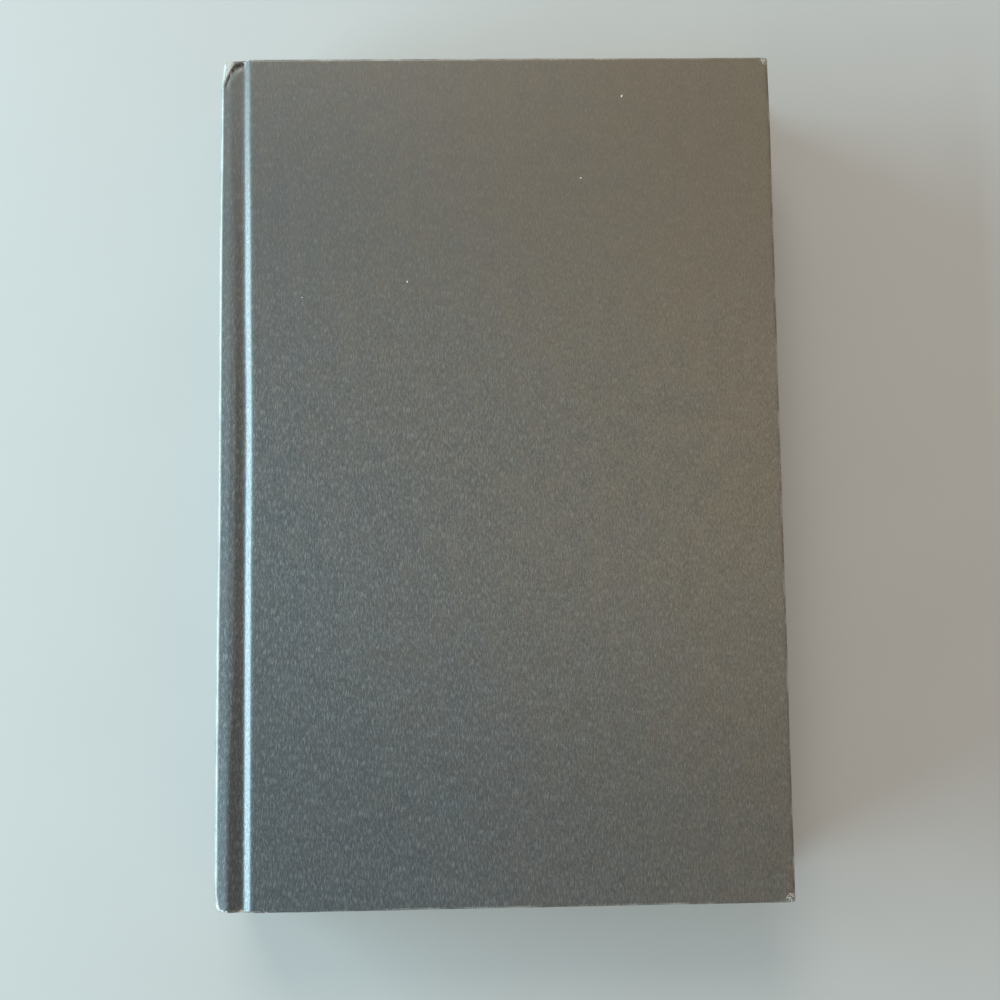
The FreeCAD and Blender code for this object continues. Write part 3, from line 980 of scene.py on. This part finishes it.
@dataclass(frozen=True)
class Bend:
    """Stretch of a joint that bends, and the height of its hinge."""

    start: float = -75.35
    end: float = -72.8
    z: float = 27.3

    def give(self, made: bpy.types.Object, side: Side, height: float) -> None:
        """Bake a piece's placement into its mesh; no bend is made here.

        Args:
            made: the piece.
            side: its cover; not used.
            height: thickness of the closed book; not used.
        """
        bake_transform(made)


@dataclass
class CoverSheet:
    """Covering paper of one cover and its joint, turned in on three sides."""

    shape: CaseShape
    side: Side
    turn_in: float = 15.0
    mitre_gap: float = 0.2
    mitre_start: float = 1.0
    insets: tuple[float, ...] = (0.4, 1.0, 2.4, 4.5, 8.0, 11.5)
    square_x: float = -60.0
    joint_pitch: float = 0.24
    crest_lines: tuple[float, ...] = (-69.8, -69.4, -68.8, -68.0, -67.0)
    board_from: float = -65.5
    board_pitch: float = 2.5
    fore_lines: tuple[float, ...] = (75.0, 76.6, 77.8, 78.6)
    first_line: float = 0.25
    line_growth: float = 1.1
    near_lines: int = 21
    far_lines: int = 40
    corner_steps: int = 3
    turn_step: float = 0.3
    straight: float = 1.5
    bend: Bend = Bend()

    def stations(self) -> list[float]:
        """Lines across the sheet, close together over the joint."""
        s = self.shape
        return [*steps(s.seam_x, self.crest_lines[0], self.joint_pitch),
                *self.crest_lines,
                *steps(self.board_from, self.fore_lines[0], self.board_pitch),
                *self.fore_lines, s.fore_x - s.edge_round]

    def lines(self, end: float) -> list[float]:
        """Lines along the sheet between its folds, close together near them."""
        half, pitch = [end - self.first_line], self.first_line
        for _ in range(self.near_lines):
            pitch *= self.line_growth
            half.append(half[-1] - pitch)
        half += [half[-1] * (1.0 - i / self.far_lines) for i in range(1, self.far_lines)]
        return [-y for y in half] + [0.0] + half[::-1]

    def build(self, finish: bpy.types.Material) -> bpy.types.Object:
        """Make the sheet and fold its edges.

        Args:
            finish: covering paper.

        Returns:
            The sheet.
        """
        s, mesh = self.shape, SheetMesh()
        xs = self.stations()
        rows = []
        for x in xs:
            end = s.half - s.round_at(x)
            ys = [-end, *self.lines(end), end]
            rows.append([mesh.add(s.settled((x, y, s.face(x, y, self.side))), (x, y))
                         for y in ys])
        mesh.skin(rows, turned=True)
        self.fold(mesh, xs, rows)
        if self.side is Side.BACK:
            mesh.flipped(s.thickness)
        name = self.side.value
        made = mesh.piece(f"{name}_case_sheet", finish, s.paper)
        self.bend.give(made, self.side, s.thickness)
        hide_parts(f"{name}_cover_paper", f"{name}_joint_paper")
        return made

    def fold(self, mesh: SheetMesh, xs: list[float], rows: list[list[int]]) -> None:
        """Fold the sheet round the head, the fore edge and the tail.

        Args:
            mesh: sheet so far.
            xs: lines across the sheet.
            rows: point numbers of the face, one row for each of xs.
        """
        s = self.shape
        end = s.half - s.edge_round
        ys = [-end, *self.lines(end), end]
        columns = [(x, s.half - s.round_at(x), 0.0, 1.0, row[-1])
                   for x, row in zip(xs, rows)]
        head_corner = self.corner(1.0, rows[-1][-1])
        fore = [(xs[-1], y, 1.0, 0.0, index)
                for y, index in zip(ys[::-1], rows[-1][::-1])]
        tail_corner = self.corner(-1.0, rows[-1][0])
        tail = [(x, -(s.half - s.round_at(x)), 0.0, -1.0, row[0])
                for x, row in zip(xs[::-1], rows[::-1])]
        head_from = len(columns) - 1
        tail_from = len(columns) + len(head_corner) + len(fore) - 1
        columns += head_corner + fore + tail_corner + tail
        before = [column[4] for column in columns]
        went = 0.0
        for out, down, up in edge_levels():
            went += self.straight if up == 1.0 else self.turn_step
            before = self.level(mesh, columns, before, out, down, up, 0.0, went)
        for inset in (*self.insets, self.turn_in - s.edge_round):
            slit = inset > self.mitre_start
            before = self.level(mesh, columns, before, 0.0, math.nan, 0.0, inset,
                                went + inset, (head_from, tail_from) if slit else ())

    def corner(self, end: float, index: int) -> list[tuple]:
        """Columns between the head or tail side and the fore side.

        Args:
            end: 1 at the head, -1 at the tail.
            index: number of the face's corner point.

        Returns:
            Columns in the order of travel, head to tail.
        """
        s = self.shape
        out = [(s.fore_x - s.edge_round, end * (s.half - s.edge_round),
                math.sin(a), end * math.cos(a), index)
               for a in quarter_turn(self.corner_steps + 1)[1:-1]]
        return out if end > 0.0 else out[::-1]

    def level(self, mesh: SheetMesh, columns: list[tuple], before: list[int],
              out: float, down: float, up: float, inset: float, went: float,
              slits: Sequence[int] = ()) -> list[int]:
        """Add one stage of the fold all the way round.

        Args:
            mesh: sheet so far.
            columns: x, y, way out in x and y, and face point of each column.
            before: point numbers of the stage before.
            out: how far the stage stands out, in edge radii.
            down: how far below the face, in radii, or NaN.
            up: how far above the free side, in radii, or NaN.
            inset: how far the stage lies in from the fold, on the free side.
            went: length of paper used since the face.
            slits: columns after which the two turn-ins part at their mitre.

        Returns:
            Point numbers of the new stage.
        """
        s = self.shape
        corner_x = s.fore_x - s.edge_round
        now = []
        for number, (x, y, out_x, out_y, _) in enumerate(columns):
            radius = s.round_at(x)
            place_x, place_y = x + out_x * radius * out, y + out_y * radius * out
            if inset > 0.0:
                if abs(out_x) > 0.0:
                    place_x = x - inset
                elif x > self.square_x:
                    span = corner_x - self.square_x
                    place_x = self.square_x + (x - self.square_x) * (span - inset) / span
                end = s.half - radius
                place_y = y * (end - inset) / end
            top = s.face(x, place_y if inset else y, self.side)
            low = s.under(x, place_y if inset else y, self.side)
            z = low + radius * up if math.isnan(down) else top - radius * down
            if number in slits:
                place_x -= self.mitre_gap
            point = s.settled((place_x, place_y, z))
            now.append(mesh.add(point, (x + out_x * went, y + out_y * went)))
        parts, start = [], 0
        for slit in slits:
            parts.append((start, slit + 1))
            start = slit + 1 + self.corner_steps
        parts.append((start, len(columns)))
        for low_end, high_end in parts:
            mesh.strip(before[low_end:high_end], now[low_end:high_end])
        return now


@dataclass
class CoverBoard:
    """Stiff board of one cover, bevelled where the groove runs over it."""

    shape: CaseShape
    side: Side
    low: float = 26.15
    foot: float = -72.2
    past_crest: float = 0.4
    chamfer: float = 0.5
    still_x: float = 70.0

    def build(self, finish: bpy.types.Material) -> bpy.types.Object:
        """Make the board to fit inside its covering paper."""
        s, mesh = self.shape, SheetMesh()
        end, fore, top = s.half - s.paper, s.fore_x - s.paper, s.thickness - s.paper
        rings = []
        for y in (-end, *CoverSheet(s, self.side).lines(end), end):
            crest = s.groove(y, self.side).foot + s.board_wall + self.past_crest
            loop = ((self.foot, self.low), (crest, top), (self.still_x, top),
                    (fore - self.chamfer, top), (fore, top - self.chamfer),
                    (fore, self.low + self.chamfer), (fore - self.chamfer, self.low),
                    (self.still_x, self.low))
            ring = [mesh.add(s.settled((x, y, z)), (x, y)) for x, z in loop]
            rings.append([*ring, ring[0]])
        mesh.skin(rings, turned=True)
        mesh.cap(rings[0], turned=True)
        mesh.cap(rings[-1])
        if self.side is Side.BACK:
            mesh.flipped(s.thickness)
        name = self.side.value
        made = mesh.piece(f"{name}_case_board", finish)
        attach(made, f"{name}_cover")
        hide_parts(f"{name}_board")
        return made


@dataclass
class Spine:
    """Flat spine: stiff board, and covering paper round it."""

    shape: CaseShape
    round_edge: float = 1.4
    inner_x: float = -77.1
    inner_slope: float = 0.3
    inner_step: float = 0.06
    seam_pitch: float = 0.22
    arc_steps: int = 8
    face_lines: tuple[float, ...] = (0.5, 1.2)
    face_from: float = 2.2
    face_pitch: float = 1.3
    worn_from: Span = (25.5, 28.0)
    cap_round: float = 0.6
    cap_step: float = 0.3
    insets: tuple[float, ...] = (1.5, 4.0, 8.0, 14.0)
    board_half: float = 120.25
    board_x: Span = (-79.75, -77.35)
    board_arc: int = 4
    board_pitch: float = 2.4
    board_first: float = 1.2

    def outline(self) -> list[tuple[float, float, float, float]]:
        """Outer and inner face of the spine's paper, from front to back.

        Returns:
            Outer x and z, and the inner x and z across the board from it.
        """
        s, r = self.shape, self.round_edge
        top, middle = s.thickness, s.thickness / 2
        arc_x, arc_z = s.spine_x + r, top - r
        upper = [(x, top, max(x, self.inner_x), top - 2.0 * s.paper
                  - self.inner_slope * max(self.inner_x - x, 0.0))
                 for x in steps(s.seam_x, arc_x, self.seam_pitch)]
        turn_z = upper[-1][3] - self.inner_step
        for i, a in enumerate(quarter_turn(self.arc_steps)):
            upper.append((arc_x - r * math.sin(a), arc_z + r * math.cos(a),
                          self.inner_x, turn_z - self.inner_step * i))
        last = upper[-1][3]
        face = [arc_z - down for down in self.face_lines] \
            + steps(arc_z - self.face_from, middle, self.face_pitch)
        upper += [(s.spine_x, z, self.inner_x,
                   middle + (z - middle) * (last - middle) / (arc_z - middle))
                  for z in face]
        lower = [(x, top - z, ix, top - iz) for x, z, ix, iz in upper[::-1]]
        return [*upper, (s.spine_x, middle, self.inner_x, middle), *lower]

    def drop(self, x: float, y: float, z: float) -> float:
        """How far the worn shoulder lowers a point near the front face."""
        if z <= self.worn_from[0]:
            return 0.0
        worn = self.shape.thickness - self.shape.face(x, y, Side.FRONT)
        return worn * eased(z, *self.worn_from)

    def paper(self, finish: bpy.types.Material) -> bpy.types.Object:
        """Covering paper of the spine, turned in at the head and the tail."""
        s, mesh = self.shape, SheetMesh()
        path = self.outline()
        sheet = CoverSheet(s, Side.FRONT)
        rows, ends, went = [], [], s.seam_x
        for number, (x, z, ix, iz) in enumerate(path):
            if number:
                went -= math.dist((x, z), path[number - 1][:2])
            chord = math.dist((x, z), (ix, iz))
            radius = min(self.cap_round, chord / 2)
            end = s.half - radius
            rows.append([mesh.add(self.placed(x, y, z), (went, y))
                         for y in (-end, *sheet.lines(end), end)])
            ends.append((x, z, ix, iz, chord, radius, went))
        mesh.skin(rows)
        stages = [(*level, 0.0) for level in edge_levels()]
        stages += [(0.0, math.nan, 0.0, inset) for inset in self.insets]
        for end, column in ((1.0, -1), (-1.0, 0)):
            before = [row[column] for row in rows]
            for number, (out, down, up, inset) in enumerate(stages):
                now = []
                for x, z, ix, iz, chord, radius, went in ends:
                    gone = radius * down if math.isnan(up) else chord - radius * up
                    share = gone / chord
                    y = end * (s.half - radius + radius * out - inset)
                    point = self.placed(x + (ix - x) * share, y, z + (iz - z) * share)
                    now.append(mesh.add(point, (went, y + end * self.cap_step * number)))
                mesh.strip(before, now, turned=end > 0.0)
                before = now
        made = mesh.piece("spine_case_sheet", finish, s.paper)
        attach(made, "pages")
        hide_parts("spine_paper")
        return made

    def placed(self, x: float, y: float, z: float) -> Point:
        """Point of the spine after wear: first lowered, then pushed in."""
        lowered = z - self.drop(x, min(max(y, -self.shape.half), self.shape.half), z)
        moved_x, moved_y, _ = self.shape.settled((x, y, z))
        return moved_x, moved_y, lowered

    def stiffener(self, finish: bpy.types.Material) -> bpy.types.Object:
        """Stiff board inside the spine, crushed where the spine is."""
        s, mesh = self.shape, SheetMesh()
        low, high = s.paper, s.thickness - s.paper
        r, (outer, inner) = self.round_edge - s.paper, self.board_x
        corner = [(outer + r - r * math.sin(a), high - r + r * math.cos(a))
                  for a in quarter_turn(self.board_arc)]
        face = [(outer, z) for z in steps(high - r - self.board_first, low + r,
                                          self.board_pitch)[1:]]
        loop = [(inner, high)] + corner + face \
            + [(x, s.thickness - z) for x, z in corner[::-1]] + [(inner, low)]
        loop += [(inner, z) for z in steps(low, high, self.board_pitch)[1:]]
        inside = CoverSheet(s, Side.FRONT).lines(self.board_half)
        rings = []
        for y in (-self.board_half, *inside, self.board_half):
            ring = [mesh.add(self.placed(x, y, z), (x, y)) for x, z in loop]
            rings.append([*ring, ring[0]])
        mesh.skin(rings, turned=True)
        mesh.cap(rings[0])
        mesh.cap(rings[-1], turned=True)
        made = mesh.piece("spine_stiffener", finish)
        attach(made, "pages")
        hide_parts("spine_board")
        return made


@dataclass
class PageBlock:
    """Sewn pages, leaf by leaf at the three trimmed sides."""

    back_x: float = -76.5
    fore_x: float = 77.0
    half: float = 117.5
    low: float = 3.45
    high: float = 25.45
    leaves: int = 160
    sections: int = 10
    groove: float = 0.07
    leaf_flat: Span = (0.3, 0.7)
    stray: float = 0.05
    notch: float = 0.5
    notch_slope: float = 2.0
    pitch: float = 7.0
    back_steps: int = 8
    seed: int = 11

    def around(self) -> list[tuple[float, float]]:
        """Points of one ring, as shares across and along the block."""
        across = steps(0.0, 1.0, self.pitch / (self.fore_x - self.back_x))
        fore = steps(-1.0, 1.0, self.pitch / self.half)
        back = steps(1.0, -1.0, 2.0 / self.back_steps)
        return [(x, -1.0) for x in across] + [(1.0, y) for y in fore] \
            + [(1.0 - x, 1.0) for x in across] + [(0.0, y) for y in back]

    def fold_depth(self, z: float) -> float:
        """Depth of the notch between two sections at a height."""
        section = (self.high - self.low) / self.sections
        if not self.low + section / 2 < z < self.high - section / 2:
            return 0.0
        from_fold = abs((z - self.low + section / 2) % section - section / 2)
        return max(0.0, self.notch - self.notch_slope * from_fold)

    def build(self, finish: bpy.types.Material) -> bpy.types.Object:
        """Make the block, one ridge for each leaf."""
        draw = random.Random(self.seed)
        mesh = SheetMesh()
        leaf = (self.high - self.low) / self.leaves
        levels = [(self.low, 0.0, 0.0)]
        for number in range(self.leaves):
            ends, fore = (draw.uniform(-1.0, 1.0) * self.stray for _ in range(2))
            levels += [(self.low + leaf * (number + at), ends, fore)
                       for at in self.leaf_flat]
            if number < self.leaves - 1:
                levels.append((self.low + leaf * (number + 1), ends + self.groove,
                               fore + self.groove))
        levels.append((self.high, 0.0, 0.0))
        around = self.around()
        rings = []
        for z, ends, fore in levels:
            left, right = self.back_x + self.fold_depth(z), self.fore_x - max(fore, 0.0)
            end = self.half - max(ends, 0.0)
            ring = []
            for across, along in around:
                x, y = left + (right - left) * across, end * along
                ring.append(mesh.add((x, y, z), (x, y)))
            rings.append([*ring, ring[0]])
        mesh.skin(rings)
        mesh.cap(rings[0], turned=True)
        mesh.cap(rings[-1])
        made = mesh.piece("page_block", finish, crease=20.0)
        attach(made, "pages")
        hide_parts("text_block")
        return made


@dataclass
class WovenBand:
    """Head or tail band: a corded bead on a tape behind the pages."""

    shape: CaseShape
    name: str
    end: float
    bead_x: float = -76.2
    bead_y: float = 118.3
    radius: float = 0.8
    low: float = 3.45
    high: float = 25.45
    rib: float = 1.1
    rib_steps: int = 6
    rib_depth: float = 0.1
    lay: float = 0.25
    cap_length: float = 0.5
    cap_least: float = 0.25
    tape_x: Span = (-76.75, -76.5)
    tape_from: float = 105.0
    tape_to: float = 118.3
    tape_pitch: float = 1.1
    around: int = 20

    def build(self, finish: bpy.types.Material) -> bpy.types.Object:
        """Make the bead and its tape as one piece."""
        mesh = SheetMesh()
        rings = []
        for z in [*steps(self.low, self.high, self.rib / self.rib_steps), self.high]:
            from_end = min(min(z - self.low, self.high - z) / self.cap_length, 1.0)
            cap = math.sqrt(max(0.0, 1.0 - (1.0 - from_end) ** 2))
            ring = []
            for i in range(self.around):
                a = 2 * math.pi * i / self.around
                lead = (z + self.lay * a * self.radius) * math.pi / self.rib
                rib = 1.0 - self.rib_depth * (1.0 - abs(math.sin(lead)))
                r = self.radius * rib * max(cap, self.cap_least)
                point = (self.bead_x + r * math.cos(a),
                         self.end * (self.bead_y + r * math.sin(a)), z)
                ring.append(mesh.add(self.shape.settled(point), (a * self.radius, z)))
            rings.append([*ring, ring[0]])
        turned = self.end < 0.0
        mesh.skin(rings, turned)
        mesh.cap(rings[0], not turned)
        mesh.cap(rings[-1], turned)
        self.tape(mesh)
        made = mesh.piece(f"{self.name}_weave", finish)
        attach(made, "pages")
        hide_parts(self.name)
        return made

    def tape(self, mesh: SheetMesh) -> None:
        """Add the flat tape that holds the bead."""
        outer, inner = self.tape_x
        rings = []
        for y in [*steps(self.tape_from, self.tape_to, self.tape_pitch), self.tape_to]:
            ring = [mesh.add(self.shape.settled((x, self.end * y, z)), (y, z))
                    for x, z in ((outer, self.low), (outer, self.high),
                                 (inner, self.high), (inner, self.low))]
            rings.append([*ring, ring[0]])
        turned = self.end < 0.0
        mesh.skin(rings, turned)
        mesh.cap(rings[0], turned)
        mesh.cap(rings[-1], not turned)


@dataclass
class JointStrip:
    """Flexible strip across a joint, from the pages to a cover."""

    name: str
    path: tuple[tuple[float, float], ...]
    thickness: float
    half: float
    replaces: str
    slot: str
    bend: Bend = Bend()
    pitch_y: float = 5.0

    def build(self, side: Side, height: float,
              finish: bpy.types.Material) -> bpy.types.Object:
        """Make the strip.

        Args:
            side: cover that the strip joins.
            height: thickness of the closed book.
            finish: paper or cloth of the strip.

        Returns:
            The strip.
        """
        mesh = SheetMesh()
        ys = [*steps(-self.half, self.half, self.pitch_y), self.half]
        rows, went = [], 0.0
        for number, (x, z) in enumerate(self.path):
            if number:
                went += math.dist((x, z), self.path[number - 1])
            rows.append([mesh.add((x, y, z), (went, y)) for y in ys])
        mesh.skin(rows, turned=True)
        if side is Side.BACK:
            mesh.flipped(height)
        name = side.value
        made = mesh.piece(f"{name}_{self.name}", finish, self.thickness)
        self.bend.give(made, side, height)
        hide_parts(f"{name}_{self.replaces}")
        return made


@dataclass
class Joints:
    """Endpaper folds and mull of both joints."""

    shape: CaseShape
    endpaper: float = 0.2
    endpaper_half: float = 117.5
    flyleaf_z: float = 25.45
    pastedown_z: float = 25.9
    back_x: float = -76.5
    mull: float = 0.25
    mull_half: float = 105.0
    mull_x: float = -76.0
    mull_z: float = 26.15
    end_x: float = -72.8
    pitch: float = 0.25
    fold_steps: int = 8

    def run(self, start: float, z: float) -> list[tuple[float, float]]:
        """Flat stretch from a place to the end of the joint."""
        return [*((x, z) for x in steps(start, self.end_x, self.pitch)), (self.end_x, z)]

    def endpaper_path(self) -> tuple[tuple[float, float], ...]:
        """Outer face of an endpaper's fold, from the flyleaf to the pastedown."""
        radius = (self.pastedown_z - self.flyleaf_z) / 2
        straight, middle = self.back_x + radius, self.flyleaf_z + radius
        turn = [(straight - radius * math.sin(a), middle - radius * math.cos(a))
                for a in (math.pi * i / self.fold_steps
                          for i in range(self.fold_steps + 1))]
        return (*turn, *self.run(straight, self.pastedown_z)[1:])

    def build(self, paper: bpy.types.Material,
              cloth: bpy.types.Material) -> list[bpy.types.Object]:
        """Make the four strips."""
        strips = (
            (JointStrip("endpaper_hinge", self.endpaper_path(), self.endpaper,
                        self.endpaper_half, "endpaper_fold", "endpaper"), paper),
            (JointStrip("mull_hinge", tuple(self.run(self.mull_x, self.mull_z)),
                        self.mull, self.mull_half, "joint_mull", "mull_cloth"), cloth))
        return [strip.build(side, self.shape.thickness, finish)
                for side in Side for strip, finish in strips]


@dataclass(frozen=True)
class Lint:
    """White speck or hair lying on the front cover."""

    x: float
    y: float
    length: float
    width: float
    turn: float


@dataclass
class Specks:
    """Specks of dust on the front cover."""

    shape: CaseShape
    dust: tuple[Lint, ...] = (
        Lint(36.9, 108.9, 0.9, 0.45, 60.0), Lint(24.5, 84.6, 0.8, 0.35, 20.0),
        Lint(-25.7, 54.6, 0.8, 0.4, 80.0), Lint(-55.6, 50.3, 0.6, 0.3, 10.0))
    lift: float = 0.01
    height: float = 0.06
    top_share: float = 0.7
    rag: Span = (0.75, 1.1)
    sides: int = 7
    seed: int = 5

    def build(self, finish: bpy.types.Material) -> bpy.types.Object:
        """Make the specks as one piece that rides on the front cover."""
        draw = random.Random(self.seed)
        mesh = SheetMesh()
        for lint in self.dust:
            self.flake(mesh, lint, draw)
        made = mesh.piece("front_cover_lint", finish)
        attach(made, "front_cover")
        return made

    def flake(self, mesh: SheetMesh, lint: Lint, draw: random.Random) -> None:
        """Add one flat, uneven flake."""
        floor = self.shape.face(lint.x, lint.y, Side.FRONT) + self.lift
        turn = math.radians(lint.turn)
        rim = []
        for i in range(self.sides):
            a = 2 * math.pi * i / self.sides
            r = draw.uniform(*self.rag)
            u, v = lint.length / 2 * r * math.cos(a), lint.width / 2 * r * math.sin(a)
            rim.append((lint.x + u * math.cos(turn) - v * math.sin(turn),
                        lint.y + u * math.sin(turn) + v * math.cos(turn)))
        low = [mesh.add((x, y, floor), (x, y)) for x, y in rim]
        high = [mesh.add((lint.x + (x - lint.x) * self.top_share,
                          lint.y + (y - lint.y) * self.top_share,
                          floor + self.height), (x, y)) for x, y in rim]
        low.append(low[0])
        high.append(high[0])
        mesh.strip(low, high)
        mesh.cap(high)
        mesh.cap(low, turned=True)


@dataclass(frozen=True)
class Lamp:
    """Soft lamp with a rectangular face; its places and sizes in metres."""

    name: str
    place: Point
    aim: Point
    size: tuple[float, float]
    watts: float
    colour: Colour

    def hang(self) -> None:
        """Add the lamp to the scene."""
        data = bpy.data.lights.new(self.name, "AREA")
        data.shape, data.size, data.size_y = "RECTANGLE", *self.size
        data.energy, data.color = self.watts, self.colour
        made = bpy.data.objects.new(self.name, data)
        made.location = self.place
        way = Vector(self.aim) - Vector(self.place)
        made.rotation_euler = way.to_track_quat("-Z", "Y").to_euler()
        bpy.context.scene.collection.objects.link(made)


@dataclass
class Studio:
    """Camera, lamps and floor."""

    eye: Point = (-5.34, -26.92, 309.91)
    turn_degrees: Point = (3.83, -1.042, -0.764)
    lens: float = 36.0
    sensor: float = 36.0
    sight: Span = (10.0, 20000.0)
    floor_half: float = 3000.0
    floor_z: float = -0.1
    floor_deep: Colour = (0.66, 0.66, 0.645)
    floor_pale: Colour = (0.70, 0.70, 0.685)
    floor_cloud: Grain = Grain(0.0, (40.0, 40.0, 40.0), 3.0)
    air: Colour = (1.0, 0.95, 0.88)
    air_strength: float = 0.36
    lamps: tuple[Lamp, ...] = (
        Lamp("window", (-1.2, 0.0, 0.36), (-0.02, 0.0, 0.02), (1.6, 0.3), 30.0,
             (0.59, 0.88, 1.0)),
        Lamp("ceiling", (-0.3, 1.5, 1.1), (0.0, 0.05, 0.0), (0.9, 0.9), 11.0,
             (1.0, 0.94, 0.84)))

    def camera(self) -> None:
        """Put the camera where the photograph was taken from."""
        data = bpy.data.cameras.new("camera")
        data.lens, data.sensor_width = self.lens, self.sensor
        data.clip_start, data.clip_end = (reach * MM for reach in self.sight)
        made = bpy.data.objects.new("camera", data)
        turn = Vector(self.turn_degrees)
        made.location = Vector(self.eye) * MM
        made.rotation_euler = Quaternion(
            turn.normalized(), math.radians(turn.length)).to_euler()
        bpy.context.scene.collection.objects.link(made)
        bpy.context.scene.camera = made

    def floor(self) -> None:
        """Lay a plain pale floor under the book."""
        recipe = Recipe("floor")
        cloud = recipe.grain(recipe.place(), self.floor_cloud)
        recipe.rough(cloud, 0.75, 0.85)
        finish = recipe.done(recipe.mix(cloud, self.floor_deep, self.floor_pale))
        mesh = bpy.data.meshes.new("floor")
        side = self.floor_half * MM
        mesh.from_pydata([(x * side, y * side, self.floor_z * MM) for x, y in (
            (-1, -1), (1, -1), (1, 1), (-1, 1))], [], [(0, 1, 2, 3)])
        made = bpy.data.objects.new("floor", mesh)
        made.data.materials.append(finish)
        bpy.context.scene.collection.objects.link(made)
        made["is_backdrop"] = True

    def build(self) -> None:
        """Set up the whole studio."""
        scene = bpy.context.scene
        scene.view_settings.view_transform = "Standard"
        world = bpy.data.worlds.new("studio")
        world.use_nodes = True
        background = world.node_tree.nodes["Background"]
        background.inputs["Color"].default_value = (*self.air, 1.0)
        background.inputs["Strength"].default_value = self.air_strength
        scene.world = world
        self.camera()
        self.floor()
        for lamp in self.lamps:
            lamp.hang()


FRONT_SPOTS = (
    WornSpot(78.9, -119.1, 3.0, 2.8, 0.55), WornSpot(79.0, -120.7, 2.0, 0.8, 1.0),
    WornSpot(79.3, 119.6, 2.6, 2.8, 0.6), WornSpot(40.0, 120.9, 70.0, 1.1, 0.85),
    WornSpot(-71.3, 120.6, 1.1, 0.9, 1.0), WornSpot(-69.9, 120.6, 0.9, 0.8, 1.0),
    WornSpot(-72.6, -120.5, 1.5, 1.2, 1.0), WornSpot(-69.2, -120.5, 1.3, 0.9, 0.9),
    WornSpot(-65.5, -120.5, 0.9, 0.7, 0.9), WornSpot(-76.4, -120.4, 0.9, 0.9, 1.0))
SPINE_SPOTS = (
    WornSpot(-79.3, -119.8, 1.4, 1.5, 1.0), WornSpot(-77.9, -120.4, 1.4, 0.9, 1.0))
# Pale line on the spine's rounded front rim: partly rubbed paper, partly a painted
# highlight of the window light.
SPINE_RUB_AND_HIGHLIGHT_LINE = WornAndHighlightLine((-80.85, -80.45), (-79.05, -78.65), 0.6)


def dress_case(shape: CaseShape, board: bpy.types.Material) -> list[bpy.types.Object]:
    """Make the covers and the spine.

    Args:
        shape: outer shape of the case.
        board: finish of the binder's boards.

    Returns:
        Covering papers and boards of the case.
    """
    worn = CasePaper(rim_wear=0.6, fold=shape.crease, spots=FRONT_SPOTS)
    # The spine's paper carries the pale rim line, partly a painted highlight.
    spine_wear_and_highlight = CasePaper(rim_wear=0.5, line=SPINE_RUB_AND_HIGHLIGHT_LINE, fold=shape.crease,
                           spots=SPINE_SPOTS)
    spine = Spine(shape)
    return [
        CoverSheet(shape, Side.FRONT).build(worn.material("case_paper_front")),
        CoverSheet(shape, Side.BACK).build(CasePaper().material("case_paper_back")),
        *(CoverBoard(shape, side).build(board) for side in Side),
        spine.paper(spine_wear_and_highlight.material("case_paper_spine")),
        spine.stiffener(board)]


def dress_frame(nodes: dict[str, bpy.types.Object],
                finishes: dict[str, bpy.types.Material]) -> None:
    """Give the CAD nodes that stay their finishes.

    Args:
        nodes: CAD nodes by name.
        finishes: a finish for each kind of piece, found in the node's name.
    """
    for name, node in nodes.items():
        for kind, finish in finishes.items():
            if name.endswith(kind):
                node.data.materials.clear()
                node.data.materials.append(finish)


def main() -> None:
    """Build the dressed book and the studio round it."""
    logging.basicConfig(level=logging.INFO, format="%(message)s")
    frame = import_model()
    frame_box = tuple(corner.copy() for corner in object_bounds())
    shape = CaseShape()
    board, cloth = BindersBoard().material("binders_board"), OpenCloth()
    pieces = dress_case(shape, board)
    pieces.append(PageBlock().build(PageEdges().material("page_edges")))
    band = BandCloth().material("band_cloth")
    pieces += [WovenBand(shape, name, end).build(band)
               for name, end in (("head_band", 1.0), ("tail_band", -1.0))]
    endpaper = PlainPaper(ENDPAPER_PALE, ENDPAPER_DEEP)
    pieces += Joints(shape).build(endpaper.material("endpaper_sheet", on_sheet=True),
                                  cloth.material("mull_sheet", on_sheet=True))
    lint = PlainPaper((0.85, 0.84, 0.8), (0.75, 0.74, 0.7))
    pieces.append(Specks(shape).build(lint.material("lint", on_sheet=True)))
    mull = cloth.material("mull")
    lining = PlainPaper((0.43, 0.33, 0.22), (0.34, 0.25, 0.16), fibre=0.5)
    dress_frame(frame["nodes"], {
        "flyleaf": endpaper.material("flyleaf"), "_board": board,
        "pastedown": Pastedown().material("pastedown"), "mull_flange": mull,
        "spine_mull": mull, "spine_lining": lining.material("spine_lining")})
    Studio().build()
    for piece in pieces:
        LOG.info("%s: %d faces", piece.name, len(piece.data.polygons))


if __name__ == "__main__":
    main()
